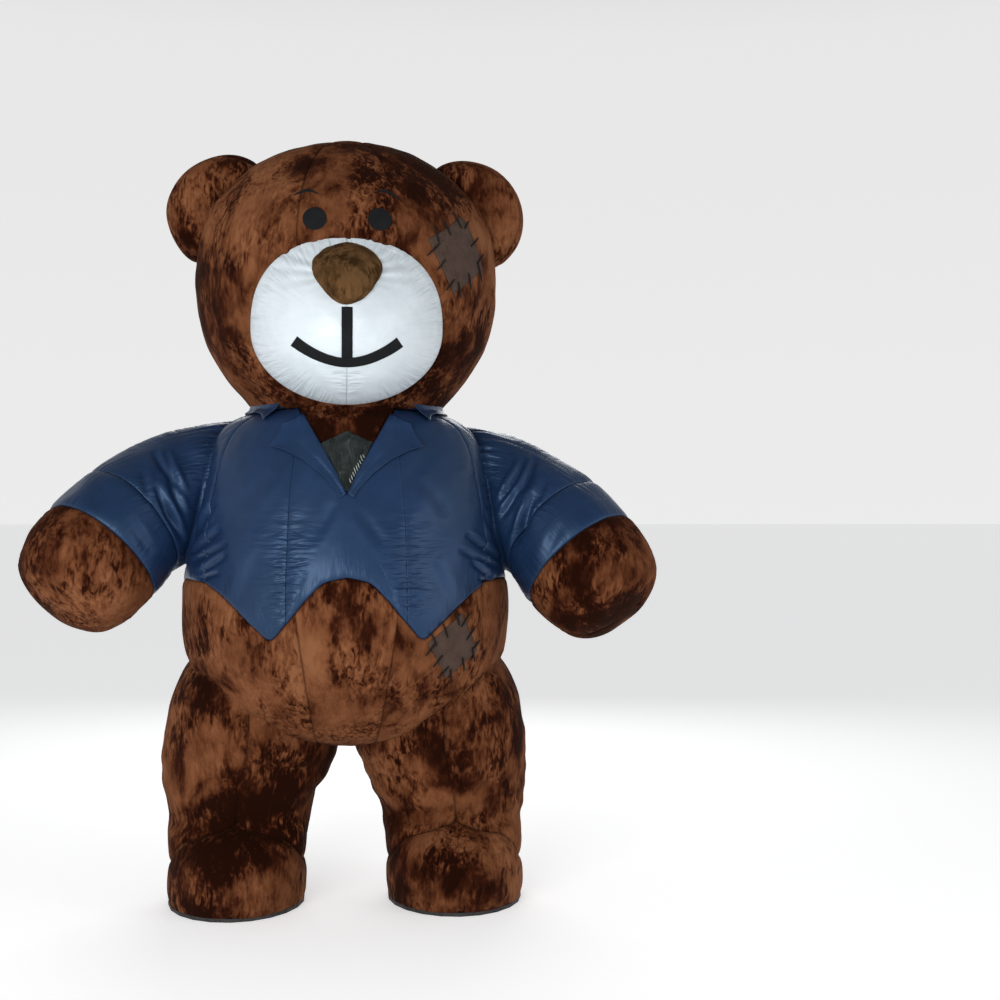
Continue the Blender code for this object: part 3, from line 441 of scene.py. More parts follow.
def fade(tree, reach):
    """1 on a seam, falling off with the distance from it."""
    return sums(tree, "EXPONENT", sums(tree, "MULTIPLY", attribute(tree, "gap"), -1 / reach))


def pleats(tree, reach, spacing):
    """Fine creases square to the nearest seam, about 0 in the mean."""
    spread = add(tree, "CombineXYZ")
    tree.links.new(sums(tree, "MULTIPLY", attribute(tree, "along"), 1 / spacing), spread.inputs["X"])
    tree.links.new(sums(tree, "MULTIPLY", attribute(tree, "gap"), 0.5 / reach), spread.inputs["Y"])
    streaks = sums(tree, "SUBTRACT", noise(tree, spread.outputs["Vector"], 1.0, 2.0, 0.25), 0.5)
    held = sums(tree, "SUBTRACT", fade(tree, reach), sums(tree, "MULTIPLY", fade(tree, 0.008), 0.85))
    return sums(tree, "MULTIPLY", streaks, sums(tree, "MULTIPLY", held, attribute(tree, "pull")))


def seam_line_and_shade(tree, colour, dark, strength, width=0.0035):
    """The colour, darkened along a seam: a faint fixed dark line in the stitching, and painted shade in the
    seam's valley that grows with how hard the seam pulls in.
    """
    made = add(tree, "Mix", data_type="RGBA")
    # the pull term paints shade into the seam's valley; the fixed 0.15 term is the stitched line's own
    # darkness
    sharp = sums(tree, "ADD", sums(tree, "MULTIPLY", attribute(tree, "pull"), strength), 0.15 * strength)
    tree.links.new(sums(tree, "MULTIPLY", fade(tree, width), sharp), made.inputs["Factor"])
    tree.links.new(colour, made.inputs[6])
    made.inputs[7].default_value = dark
    return made.outputs[2]


# %% Plush
def plush_material(name, stops, patch=1.0):
    material, tree, shader = new_material(
        name, 0.92, Sheen_Weight=0.12, Sheen_Roughness=0.40, Specular_IOR_Level=0.05
    )
    shader.inputs["Sheen Tint"].default_value = stops[-1][1]
    nap, plain = attribute(tree, "nap"), mapped_position(tree)
    upright = mapped_position(tree, (1.3, 1.3, 0.9), (0.3, 0.2, 0.5))
    combed = mapped_position(tree, (1.5, 1.5, 0.55), (0.35, 0.45, 0.2))
    broad = noise(tree, plain, 2.6 * patch, 2.0, 0.9)
    middle = noise(tree, upright, 8.0 * patch, 5.0, 0.9, nap)
    strokes = noise(tree, combed, 46.0, 4.0, 0.8, nap)
    crushed = ramp(tree, noise(tree, plain, 5.0 * patch, 1.0, 0.6, nap), [(0.42, GREY[0]), (0.62, GREY[1])])
    apart = sums(tree, "SUBTRACT", strokes, 0.5)
    flecks = sums(tree, "MULTIPLY", apart, sums(tree, "MULTIPLY", crushed, 0.70))
    value = sums(tree, "ADD", mix(tree, broad, middle, 0.50), flecks)
    value = sums(tree, "ADD", value, attribute(tree, "tone"))
    # painted shade in the seam valleys, over a faint dark stitched line
    colour = seam_line_and_shade(tree, ramp(tree, value, stops), stops[0][1], 0.7)
    tree.links.new(colour, shader.inputs["Base Color"])
    pile = noise(tree, plain, 330.0, 2.0)
    height = mix(tree, mix(tree, middle, strokes, 0.5), pile, 0.35)
    height = sums(tree, "ADD", sums(tree, "MULTIPLY", pleats(tree, 0.045, 0.020), 2.4), height)
    bump(tree, shader, height, 0.6, 0.008)
    return material


GREY = ((0.25, 0.25, 0.25, 1.0), (1.0, 1.0, 1.0, 1.0))
brown = plush_material("brown_plush", [
    (0.385, linear(28, 7, 1)), (0.440, linear(48, 19, 7)), (0.480, linear(72, 38, 20)),
    (0.530, linear(94, 55, 33)), (0.60, linear(110, 68, 43)), (0.68, linear(122, 79, 52)),
])  # fmt: skip
nose_plush = plush_material(
    "nose_plush", [(0.40, linear(48, 32, 13)), (0.5, linear(74, 52, 30)), (0.6, linear(94, 68, 42))], 3.0
)


# %% Satins
def satin_material(name, base, light, dark, tint, roughness, crumpled, creased):
    material, tree, shader = new_material(
        name, roughness, Specular_IOR_Level=0.50, Sheen_Weight=0.04, Sheen_Roughness=0.3
    )
    shader.inputs["Sheen Tint"].default_value = light
    shader.inputs["Specular Tint"].default_value = tint
    vector = mapped_position(tree)
    tone = mix(tree, noise(tree, vector, 3.0, 2.0, 0.5), noise(tree, vector, 18.0, 3.0, 0.8), 0.35)
    colour = ramp(tree, tone, [(0.3, base), (0.7, light)], True)
    # painted shade in the seam valleys, over a faint dark stitched line
    tree.links.new(seam_line_and_shade(tree, colour, dark, 0.25, 0.0020), shader.inputs["Base Color"])
    crumple = mix(tree, noise(tree, vector, 14.0, 2.0, 0.8), noise(tree, vector, 60.0, 2.0, 0.4), 0.15)
    height = sums(tree, "MULTIPLY", crumple, crumpled)
    for reach, spacing, share in ((0.020, 0.008, 0.6), (0.050, 0.020, 1.7)):
        pleated = sums(tree, "MULTIPLY", pleats(tree, reach, spacing), share * creased)
        height = sums(tree, "ADD", height, pleated)
    bump(tree, shader, height, 1.0, 0.016)
    return material


navy = satin_material("navy_satin", linear(17, 36, 62), linear(24, 43, 74), linear(7, 16, 32),
                      (0.45, 0.68, 1.0, 1.0), 0.40, 0.06, 1.0)  # fmt: skip
white = satin_material("white_satin", linear(192, 202, 207), linear(204, 213, 218), linear(150, 156, 160),
                       (1, 1, 1, 1), 0.42, 0.11, 1.0)  # fmt: skip


# %% Felt, applique, window and sole
def felt_material(name, colour, lighter, roughness=0.85, grain=220.0):
    material, tree, shader = new_material(name, roughness, Specular_IOR_Level=0.2)
    vector = mapped_position(tree)
    fibres = mix(tree, noise(tree, vector, grain, 3.0, 0.5), noise(tree, vector, 30.0, 3.0), 0.5)
    tree.links.new(ramp(tree, fibres, [(0.35, colour), (0.65, lighter)]), shader.inputs["Base Color"])
    bump(tree, shader, fibres, 0.5, 0.002)
    return material


black = felt_material("black_applique", linear(8, 9, 11), linear(16, 18, 21), 0.8)
thread = felt_material("black_yarn", linear(10, 9, 9), linear(26, 22, 21), 0.8, 400.0)
patch_felt = felt_material("patch_felt", linear(56, 42, 35), linear(74, 58, 50))
# the back tab's cloth, also used for the pale strips painted as glints on the window film
tab_cloth_and_glints = felt_material("tab_cloth_and_glints", linear(140, 150, 146), linear(168, 176, 172), 0.4, 60.0)
sole_rubber = felt_material("sole_rubber", linear(34, 32, 33), linear(56, 53, 53), 0.62, 120.0)


def window_material():
    """Clear film, coloured dark with the painted shade of the unlit inside of the chest behind it."""
    material, tree, shader = new_material("window_film", 0.22, Specular_IOR_Level=0.4)
    vector = mapped_position(tree, (1.6, 1.0, 0.7))
    haze = noise(tree, vector, 16.0, 4.0, 1.2)
    # the film's dark stops are painted shade of the chest's inside, mottled by the haze noise
    stops = [(0.38, linear(14, 18, 17)), (0.60, linear(30, 36, 34)), (0.74, linear(70, 76, 73))]
    tree.links.new(ramp(tree, haze, stops), shader.inputs["Base Color"])
    bump(tree, shader, haze, 0.5, 0.008)
    return material


film = window_material()
print("materials", len(bpy.data.materials))

# %% [markdown]
# ## From a grid to a cloth shell
# Each cut piece is drawn as a grid of points with rows and columns crowded towards its seams.
# Where a limb is sewn on, the cells inside the limb are dropped. The shell gets the cloth's
# thickness on its inner side.

# %% Where the pile was last brushed
Stroke = namedtuple("Stroke", "x z wide high tone")
STROKES = [
    Stroke(-0.27, 2.42, 0.12, 0.10, 0.080), Stroke(-0.13, 2.44, 0.07, 0.07, -0.070),
    Stroke(0.05, 2.52, 0.22, 0.06, -0.060), Stroke(0.25, 2.40, 0.15, 0.12, -0.055),
    Stroke(-0.42, 2.05, 0.09, 0.18, -0.025), Stroke(0.44, 2.28, 0.05, 0.07, 0.080),
    Stroke(0.40, 1.92, 0.09, 0.14, -0.005), Stroke(-0.36, 1.86, 0.08, 0.12, 0.005),
    Stroke(0.00, 0.62, 0.28, 0.09, 0.060), Stroke(0.00, 1.06, 0.11, 0.05, -0.060),
    Stroke(-0.26, 0.83, 0.07, 0.08, -0.060), Stroke(0.10, 0.86, 0.18, 0.11, 0.030),
    Stroke(-0.46, 0.72, 0.09, 0.09, -0.060), Stroke(-0.28, 0.36, 0.16, 0.055, -0.085),
    Stroke(0.12, 0.42, 0.07, 0.10, 0.055), Stroke(0.30, 0.52, 0.11, 0.12, -0.055),
    Stroke(-0.33, 0.20, 0.13, 0.05, -0.075), Stroke(0.30, 0.14, 0.13, 0.08, -0.140),
    Stroke(-0.37, 0.10, 0.16, 0.07, 0.075), Stroke(-0.92, 1.16, 0.10, 0.10, -0.045),
    Stroke(-0.84, 1.02, 0.10, 0.05, 0.030), Stroke(0.90, 1.12, 0.16, 0.15, 0.045),
    Stroke(-0.42, 0.48, 0.13, 0.14, 0.030),
]  # fmt: skip


def lie_of_pile(points):
    """Lighter or darker, as the pile lies, from broad strokes listed on the front."""
    x, y, z = np.moveaxis(points, -1, 0)
    total = 0.018 * waves(points, 0.6, 5)
    for stroke in STROKES:
        away = ((x - stroke.x) / stroke.wide) ** 2 + ((z - stroke.z) / stroke.high) ** 2
        total = total + np.where(y < 0.05, stroke.tone * np.exp(-(away**1.3)), 0)
    return total


# %% [markdown]
# ## From rows of points to cloth
# Every piece is a grid of points that gets a thickness.

# %% Cloth helper
PLUSH_THICK, SATIN_THICK, FELT_THICK = 0.0035, 0.0015, 0.0022
LET_IN = 0.034  # how far one form's cloth runs on inside another's
counts = {"triangles": 0, "pieces": 0}


def graded(count, near=0.6):
    """Shares from 0 to 1, closer together at both ends."""
    t = np.linspace(0, 1, count)
    return (1 - near) * t + near * (0.5 - 0.5 * np.cos(math.pi * t))


def cell_faces(points, outward, keep, wrap):
    rows, columns = points.shape[:2]
    index = np.arange(rows * columns).reshape(rows, columns)
    right = np.roll(index, -1, axis=1) if wrap else index[:, 1:]
    left = index if wrap else index[:, :-1]
    cells = np.stack([left[:-1], right[:-1], right[1:], left[1:]], axis=-1).reshape(-1, 4)
    flat, out = points.reshape(-1, 3), outward.reshape(-1, 3)
    across, down = flat[cells[:, 1]] - flat[cells[:, 0]], flat[cells[:, 3]] - flat[cells[:, 0]]
    facing = np.sum(np.cross(across, down) * out[cells[:, 0]], axis=1)
    if np.median(facing) < 0:
        cells = cells[:, ::-1]
    if keep is not None:
        cells = cells[keep.reshape(-1)[cells].all(axis=1)]
    return cells


def mesh_object(name, points, cells, material, tone=0.0, sewn=None):
    used, cells = np.unique(cells, return_inverse=True)
    cells, verts = cells.reshape(-1, 4), points.reshape(-1, 3)[used]
    mesh = bpy.data.meshes.new(name)
    mesh.from_pydata((verts + SHIFT).tolist(), [], cells.tolist())
    values = {"nap": np.full(len(verts), rng.uniform(0, 9)), "tone": tone + lie_of_pile(verts),
              "gap": np.full(len(verts), 0.5), "along": np.zeros(len(verts)),
              "pull": np.zeros(len(verts))}  # fmt: skip
    if sewn:
        for kind, value in (("gap", sewn.gap), ("along", sewn.along), ("pull", sewn.pull())):
            values[kind] = np.broadcast_to(value, points.shape[:-1]).reshape(-1)[used]
    for kind, value in values.items():
        mesh.attributes.new(kind, "FLOAT", "POINT").data.foreach_set("value", value)
    sheet = bmesh.new()
    sheet.from_mesh(mesh)
    bmesh.ops.remove_doubles(sheet, verts=sheet.verts, dist=1e-6)
    bmesh.ops.dissolve_degenerate(sheet, edges=sheet.edges, dist=1e-6)
    sheet.to_mesh(mesh)
    sheet.free()
    mesh.validate()
    mesh.shade_smooth()
    mesh.materials.append(material)
    made = bpy.data.objects.new(name, mesh)
    bpy.context.scene.collection.objects.link(made)
    return made


def cloth(node, points, outward, material, thick, keep=None, wrap=False, inner=True,
          tone=0.0, sewn=None):  # fmt: skip
    cells = cell_faces(points, outward, keep, wrap)
    made = mesh_object(f"{node}_cloth", points, cells, material, tone, sewn)
    shell = made.modifiers.new("cloth", "SOLIDIFY")
    shell.thickness = thick
    shell.offset = -1.0 if inner else 0.0
    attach(made, "root")
    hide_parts(node)
    counts["triangles"] += 4 * len(made.data.polygons)
    counts["pieces"] += 1
    return made


# %% [markdown]
# ## The body: jacket above the hem, plush below
# The jacket is navy satin, sewn into the bag along a pointed hem, so jacket and belly share one
# swelling form. The front is cut in a middle and two side panels with gathered seams, a band runs
# down in front of each armhole, and the back is cut in two with a plain closed strip between.

# %% The body's surface
Fold = namedtuple("Fold", "x0 z0 x1 z1 depth width")
JACKET_FOLDS = [
    Fold(0.478, 1.116, 0.393, 1.180, 0.015, 0.010), Fold(0.506, 1.185, 0.398, 1.262, 0.015, 0.010),
    Fold(0.516, 1.215, 0.440, 1.345, 0.012, 0.010), Fold(0.500, 1.158, 0.372, 1.214, 0.013, 0.009),
    Fold(0.482, 1.100, 0.415, 1.124, 0.011, 0.009), Fold(0.512, 1.240, 0.474, 1.372, 0.010, 0.009),
    Fold(0.150, 1.000, 0.115, 1.130, 0.005, 0.020), Fold(0.330, 1.030, 0.270, 1.180, 0.005, 0.026),
    Fold(0.040, 1.340, 0.110, 1.230, 0.004, 0.018), Fold(0.245, 1.440, 0.330, 1.330, 0.004, 0.022),
]  # fmt: skip
SLEEVE_FOLDS = [
    Fold(0.640, 1.519, 0.572, 1.408, 0.016, 0.011), Fold(0.602, 1.512, 0.530, 1.378, 0.016, 0.010),
    Fold(0.622, 1.405, 0.566, 1.270, 0.016, 0.011), Fold(0.582, 1.428, 0.526, 1.320, 0.014, 0.010),
    Fold(0.592, 1.350, 0.548, 1.226, 0.012, 0.010), Fold(0.664, 1.450, 0.632, 1.360, 0.008, 0.012),
    Fold(0.700, 1.300, 0.640, 1.190, 0.006, 0.014),
]  # fmt: skip


def folds_in(off, x, y, z, folds, sides):
    """Listed folds added to one or both sides of the front, never quite the same."""
    for index, fold in enumerate(folds):
        for side in sides:
            slip = 0.010 * side * (-1) ** index
            line = crease(x * side, z, (fold.x0, fold.z0 - 0.02 * (side > 0)),
                          (fold.x1 + slip, fold.z1 - 0.02 * (side > 0)), fold.depth, fold.width)  # fmt: skip
            off = off + np.where((y < 0.05) & (x * side > 0), line, 0)
    return off


def underarm(angle):
    """1 where an arm's lower front and back meet the body, 0 on the shoulder."""
    return np.exp(-(((fold_angle(angle) - 140) / 50) ** 2))


def armhole(points):
    """Distance from the nearer arm, the length along its armhole, and how far under the arm."""
    found = []
    for side, arm in arms.items():
        gap, angle, _ = arm.spot(points)
        gap = np.where(points[..., 0] * side > 0.15, gap, 9.0)
        found.append((gap, np.radians(angle) * 0.22, underarm(angle)))
    nearer = found[0][0] < found[1][0]
    return tuple(np.where(nearer, one, other) for one, other in zip(*found))


def leg_join(points):
    found = [legs[side].spot(points) for side in SIDES]
    nearer = found[0][0] < found[1][0]
    gap = np.where(nearer, found[0][0], found[1][0])
    return gap, np.radians(np.where(nearer, found[0][1], found[1][1])) * 0.28


def armhole_seam(sewing, gap, along, under):
    """The seam that body and arm share, deeper and with longer puckers under the arm."""
    sewing.seam(gap, along, 37, 0.012, 0.018, 0.0015 + 0.0105 * under, 0.05 + 0.10 * under, 0.034,
                0.15 + under)  # fmt: skip


def jacket_sewing(points, angle, place):
    """How far the satin stands in or out of the plain form."""
    x, y, z = np.moveaxis(points, -1, 0)
    sewing = Sewing(points)
    turned = fold_angle(angle)
    other = x < 0  # the right half gets its own gathers
    low = np.clip((1.36 - z) / 0.22, 0.05, 1)  # the gathers are strongest low on the chest
    sewing.seam((turned - FRONT_SEAM) * DEGREE, z + other * 3.7, 11, 0.003, 0.009, 0.0085 * low, 0.034,
                0.024, low)  # fmt: skip
    sewing.seam((turned - BAND_SEAM) * DEGREE, z + other * 2.3, 17, 0.004, 0.007, 0.002, 0.025, 0.026, 0.25)
    sewing.seam((turned - BACK_SEAM) * DEGREE, z + other * 5.1, 23, 0.012, 0.016, 0.009, 0.080, 0.030, 0.9)
    sewing.seam((180 - turned) * DEGREE, z, 29, 0.006, 0.014, 0.004, 0.050, 0.030, 0.5)
    sewing.seam(hem_place(angle) - place, angle * DEGREE, 31, 0.007, 0.010, 0.0025, 0.035, 0.030, 0.2)
    gap, along, under = armhole(points)
    armhole_seam(sewing, gap, along + other * 2.9, under)
    off = folds_in(sewing.off, x, y, z, JACKET_FOLDS, SIDES)
    sewing.off = off + 0.003 * waves(points, 0.22, 41) + 0.0008 * waves(points * (1, 1, 0.6), 0.07, 43)
    return sewing


def leg_valley(x, z):
    """Depth of the valley round a leg, shallow at the crotch where belly and leg lie side by side."""
    return 0.016 - 0.013 * np.clip((0.27 - np.abs(x)) / 0.10, 0, 1) * (z < 0.7)


def belly_sewing(points, angle, place):
    x, y, z = np.moveaxis(points, -1, 0)
    sewing = Sewing(points, 0.003)
    other, front = x < 0, y < CROTCH[0]
    sewing.seam(place - hem_place(angle), angle * DEGREE, 31, 0.007, 0.010, 0.003, 0.035, 0.030)
    gore = 0.083 + (z - 0.45) / 0.75 * 0.107
    beside_gore = np.where(front, np.abs(x) - gore, 0.5)
    sewing.seam(beside_gore, z + other * 2.3, 47, 0.005, 0.010, 0.003, 0.040, 0.036)
    sewing.seam(y - CROTCH[0], z + other * 4.1, 53, 0.007, 0.014, 0.004, 0.050, 0.036)
    sewing.seam(np.where(front, 0.5, x), z, 59, 0.009, 0.016, 0.006, 0.060, 0.034)
    gap, along = leg_join(points)
    sewing.seam(gap, along + other * 1.9, 61, leg_valley(x, z), 0.022, 0.009, 0.080, 0.042)
    sewing.off = sewing.off + 0.003 * waves(points, 0.20, 67)
    return sewing


def body_surface(angle, place, lower):
    """Points, outward directions and seams of the finished body, jacket or belly."""
    points, outward = body.points(angle, place), body.normals(angle, place)
    sewing = (belly_sewing if lower else jacket_sewing)(points, angle, place)
    return points + outward * sewing.off[..., None], outward, sewing


# %% Jacket panels
def jacket_panel(node, start, stop, columns, rows):
    angle = (start + (stop - start) * graded(columns))[None, :]
    share = graded(rows, 0.4)[:, None]
    place = hem_place(angle) * share
    angle = np.broadcast_to(angle, place.shape)
    points, outward, sewing = body_surface(angle, place, False)
    keep = armhole(body.points(angle, place))[0] > -LET_IN
    opened = np.abs(points[..., 0]) < VEE_SLOPE * (points[..., 2] - VEE_FOOT) + 0.007
    keep &= ~(opened & (points[..., 1] < 0))
    return cloth(node, points, outward, navy, SATIN_THICK, keep=keep, sewn=sewing)


VEE_FOOT, VEE_HALF, VEE_TOP = 1.385, 0.152, 1.66
VEE_SLOPE = VEE_HALF / (VEE_TOP - VEE_FOOT)
jacket_panel("jacket_front", -FRONT_SEAM, FRONT_SEAM, 66, 160)
for side, word in SIDES.items():
    jacket_panel(f"jacket_front_{word}", side * FRONT_SEAM, side * BAND_SEAM, 70, 160)
    jacket_panel(f"jacket_side_{word}", side * BAND_SEAM, side * BACK_SEAM, 70, 130)
    jacket_panel(f"jacket_back_{word}", side * BACK_SEAM, side * 180, 56, 110)
print("jacket pieces", counts)


# %% Belly and seat panels
def lower_panel(node, edges, columns, rows, tone=0.016):
    """edges gives the two side angles from the points' heights."""
    share, column = graded(rows, 0.5)[:, None], graded(columns)[None, :]
    angle = np.full((rows, columns), 45.0)
    for _ in range(4):
        first = hem_place(angle)
        place = first + (body.end - first) * share
        start, stop = edges(place)
        angle = start + (stop - start) * column
    points, outward, sewing = body_surface(angle, place, True)
    keep = leg_join(body.points(angle, place))[0] > -LET_IN
    return cloth(node, points, outward, brown, PLUSH_THICK, keep=keep, tone=tone, sewn=sewing)


def gore_angle(place):
    height, _, half, _, _ = np.moveaxis(body.curve.at(place), -1, 0)
    gore = 0.083 + (height - 0.45) / 0.75 * 0.107
    return np.degrees(np.arcsin(np.clip(gore / np.maximum(half, 1e-4), 0, 1)))


def side_angle(place):
    _, _, _, front, back = np.moveaxis(body.curve.at(place), -1, 0)
    middle, deep = (front + back) / 2, np.maximum((back - front) / 2, 1e-4)
    return np.degrees(np.arccos(np.clip((middle - CROTCH[0]) / deep, -1, 1)))


lower_panel("belly_centre", lambda p: (-gore_angle(p), gore_angle(p)), 34, 66, 0.002)
for side, word in SIDES.items():
    lower_panel(f"belly_{word}", lambda p: (side * gore_angle(p), side * side_angle(p)), 60, 66)
    lower_panel(f"seat_{word}", lambda p: (side * side_angle(p), side * 180.0 + 0 * p), 56, 60)
print("body pieces", counts)

# %% [markdown]
# ## Legs, feet, sleeves and paws
# Each limb is a tube that is let into the body, so it starts just inside and its first rows are
# drawn into the same valley. A leg is two halves over a foot that is one ring, and a sleeve is
# two halves, a cuff band and a plush mitt.


# %% Limb pieces
def limb_piece(node, form, angles, places, sew, keep, material, thick, wrap=False, tone=0.0):
    points, outward = form.points(angles, places), form.normals(angles, places)
    sewing = sew(points, angles, places)
    kept = keep(points)
    points = points + outward * sewing.off[..., None]
    return cloth(node, points, outward, material, thick, keep=kept, wrap=wrap, tone=tone, sewn=sewing)


def ring(count):
    return np.linspace(0, 360, count + 1)[:-1][None, :]


def outside_body(points):
    """True outside the body, and where the cloth is let in by less than LET_IN, sideways or upwards."""
    return (body.spot(points)[0] > -LET_IN) | (body.spot(points - (0, 0, LET_IN))[0] > 0)


def everywhere(points):
    return points[..., 2] > -1


def build_leg(side, word):
    leg = legs[side]

    def ankle_place(angle):
        return leg.place_at(ankle_curve.at(fold_angle(angle))[..., 0])

    def sew(points, angle, place):
        turned, z = fold_angle(angle), points[..., 2] + side
        sewing = Sewing(points, 0.003)
        gap, around = body.spot(points)[0], np.radians(angle) * 0.28 + side
        deep = leg_valley(points[..., 0], points[..., 2])
        sewing.seam(gap, around, 61, deep, 0.022, 0.009 * deep / 0.016, 0.080, 0.042)
        for at, height in ((0, 0.004), (90, 0.002), (180, 0.004)):
            sewing.seam((turned - at) * 0.0048, z, 71 + at, 0.005, 0.012, height, 0.045, 0.034)
        sewing.seam(place - ankle_place(angle), angle * 0.0045 + side, 83, 0.015, 0.020, 0.007, 0.060, 0.034)
        bands = np.exp(-(((points[..., 2] - 0.40) / 0.12) ** 2))  # soft level folds above the ankle
        level = waves(points * (0.5, 0.5, 2.0), 0.16, 97 + side)
        sewing.off = sewing.off + 0.0025 * waves(points, 0.20, 89 + side) + (0.001 + 0.006 * bands) * level
        return sewing

    share = graded(66, 0.4)[:, None]
    for name, start, stop in (("outer", 0, 180), ("inner", 180, 360)):
        angle = (start + (stop - start) * graded(56, 0.3))[None, :]
        place = ankle_place(angle) * share
        angle = np.broadcast_to(angle, place.shape)
        limb_piece(f"leg_{name}_{word}", leg, angle, place, sew, outside_body, brown, PLUSH_THICK,
                   tone=-0.012)  # fmt: skip
    angle = ring(120)
    first = ankle_place(angle)
    place = first + (leg.end - first) * graded(36, 0.4)[:, None]
    angle = np.broadcast_to(angle, place.shape)
    limb_piece(f"foot_{word}", leg, angle, place, sew, everywhere, brown, PLUSH_THICK, wrap=True,
               tone=-0.006)  # fmt: skip


def build_arm(side, word):
    arm = arms[side]
    cuff = arm.sleeve_end * CUFF_TOP

    def sew(points, angle, place):
        turned, around = fold_angle(angle), np.radians(angle) * 0.22
        sewing = Sewing(points)
        gap, under = body.spot(points)[0], underarm(angle)
        armhole_seam(sewing, gap, around + (side < 0) * 2.9, under)
        for at in (0, 180):
            sewing.seam((turned - at) * ARM_DEGREE, place + side, 101 + at, 0.006, 0.012, 0.006, 0.060,
                        0.028, 0.8)  # fmt: skip
        sewing.seam(place - cuff, around + side, 107, 0.007, 0.009, 0.003, 0.040, 0.036, 0.35)
        sewing.seam(place - arm.sleeve_end, around + side, 109, 0.007, 0.009, 0.002, 0.030, 0.036, 0.2)
        off = folds_in(sewing.off, *np.moveaxis(points, -1, 0), SLEEVE_FOLDS, (side,))
        sewing.off = off + 0.003 * waves(points, 0.15, 113 + side)
        return sewing

    share = graded(80, 0.4)[:, None]
    for name, start, stop, columns in (("front", 0, 180, 96), ("back", 180, 360, 60)):
        angle = (start + (stop - start) * graded(columns, 0.3))[None, :]
        place = np.broadcast_to(cuff * share, (80, columns))
        angle = np.broadcast_to(angle, place.shape)
        limb_piece(f"sleeve_{name}_{word}", arm, angle, place, sew, outside_body, navy, SATIN_THICK)
    for name, start, stop, rows, cover, slot, thick in (
        ("cuff", cuff, arm.sleeve_end, 20, navy, "satin", SATIN_THICK),
        ("paw", arm.sleeve_end, arm.end, 40, brown, "plush", PLUSH_THICK),
    ):
        angle = ring(126)
        place = np.broadcast_to(start + (stop - start) * graded(rows, 0.4)[:, None], (rows, 126))
        angle = np.broadcast_to(angle, place.shape)
        limb_piece(f"{name}_{word}", arm, angle, place, sew, everywhere, cover, thick, wrap=True,
                   tone=-0.050)  # fmt: skip


for side, word in SIDES.items():
    build_leg(side, word)
    build_arm(side, word)
print("limbs", counts)

# %% [markdown]
# ## Head, ears and muzzle
# The head is cut in upright gores that meet at the crown. The ears are two rounds with a band
# between, sewn on at the side seam. The muzzle is a white satin dome in two halves, full below
# and drawn back above, with fine creases where it is eased into the head.

# %% Muzzle surface
MUZZLE_MIDDLE, MUZZLE_HALF, MUZZLE_RISE, MUZZLE_FALL = 1.895, 0.307, 0.280, 0.224
MUZZLE_DEPTH, MUZZLE_DROOP = 0.180, 0.25
NOSE_Z, NOSE_HALF, NOSE_RISE, NOSE_FALL, NOSE_DEPTH = 2.082, 0.109, 0.078, 0.101, 0.062
EAR_X, EAR_Y, EAR_Z, EAR_RADIUS, EAR_BAND, EAR_DEPTH = 0.408, 0.050, 2.338, 0.189, 0.090, 0.100


def muzzle_reach(turn):
    up = np.sin(turn) > 0
    power, rise = np.where(up, 2.4, 2.0), np.where(up, MUZZLE_RISE, MUZZLE_FALL)
    wide = (np.abs(np.cos(turn)) / MUZZLE_HALF) ** power
    return (wide + (np.abs(np.sin(turn)) / rise) ** power) ** (-1 / power)


def muzzle_polar(x, z):
    turn = np.arctan2(z - MUZZLE_MIDDLE, x)
    return turn, np.hypot(x, z - MUZZLE_MIDDLE) / muzzle_reach(turn)


def muzzle_sewing(x, z):
    turn, share = muzzle_polar(x, z)
    around = np.arctan2(x, z - MUZZLE_MIDDLE) * 0.28  # the two ends of the rim meet under the mouth
    sewing = Sewing(np.stack([x, 0 * x, z], axis=-1), 0.0)
    low = np.clip((1.88 - z) / 0.10, 0, 1)
    upper = np.exp(-(((np.abs(around) / 0.28 - 0.95) / 0.55) ** 2))
    sewing.seam((1 - share) * muzzle_reach(turn), around, 151, 0.004, 0.010, 0.0035 + 0.003 * upper,
                0.08 + 0.05 * upper, 0.030, 0.8)  # fmt: skip
    sewing.seam(x, z + 0 * x, 157, 0.003, 0.008, 0.0040 * low, 0.060, 0.022, 0.2 + 0.6 * low)
    spread = np.arctan2(x, NOSE_Z - 0.02 - z)  # folds that run out from beside the nose
    from_nose = np.hypot(x, z - NOSE_Z + 0.02)
    near = np.exp(-(((from_nose - 0.145) / 0.08) ** 2)) * np.clip((z - 2.00) / 0.08, 0, 1)
    sewing.off = sewing.off + 0.0045 * near * slow(spread, 0.30, 163)
    sewing.off = sewing.off + 0.0015 * slow(x * 1.1 + z, 0.13, 167) * (share < 0.95)
    return sewing


def muzzle_point(x, z, out=0.0):
    turn, share = muzzle_polar(x, z)
    share = np.clip(share, 0, 1)
    upper = (1 + np.sin(turn)) / 2
    swell = (1 - share ** (2.7 - 1.1 * upper)) ** (0.45 + 0.75 * upper) * MUZZLE_DEPTH
    out = out + muzzle_sewing(x, z).off
    start = np.where(share > 0.999, 0.008, 0.0)
    front = head.front_y(x, z) + start - swell - out
    return np.stack([x, front, z - MUZZLE_DROOP * swell - 0.3 * out], axis=-1)


def surface_normals(points):
    found = unit(np.cross(np.gradient(points, axis=1), np.gradient(points, axis=0)))
    return found if np.median(found[..., 1]) < 0 else -found


for side, word in SIDES.items():
    turns = np.radians(90 - side * np.linspace(0, 180, 110))[None, :]
    shares = 1 - (1 - np.linspace(0, 1, 80)[::-1, None]) ** 1.5
    reach = muzzle_reach(turns) * shares
    x, z = reach * np.cos(turns), MUZZLE_MIDDLE + reach * np.sin(turns)
    dome = muzzle_point(x, z)
    sewing = muzzle_sewing(x, z)
    cloth(f"muzzle_{word}", dome, surface_normals(dome), white, SATIN_THICK, sewn=sewing)
print("muzzle", counts)


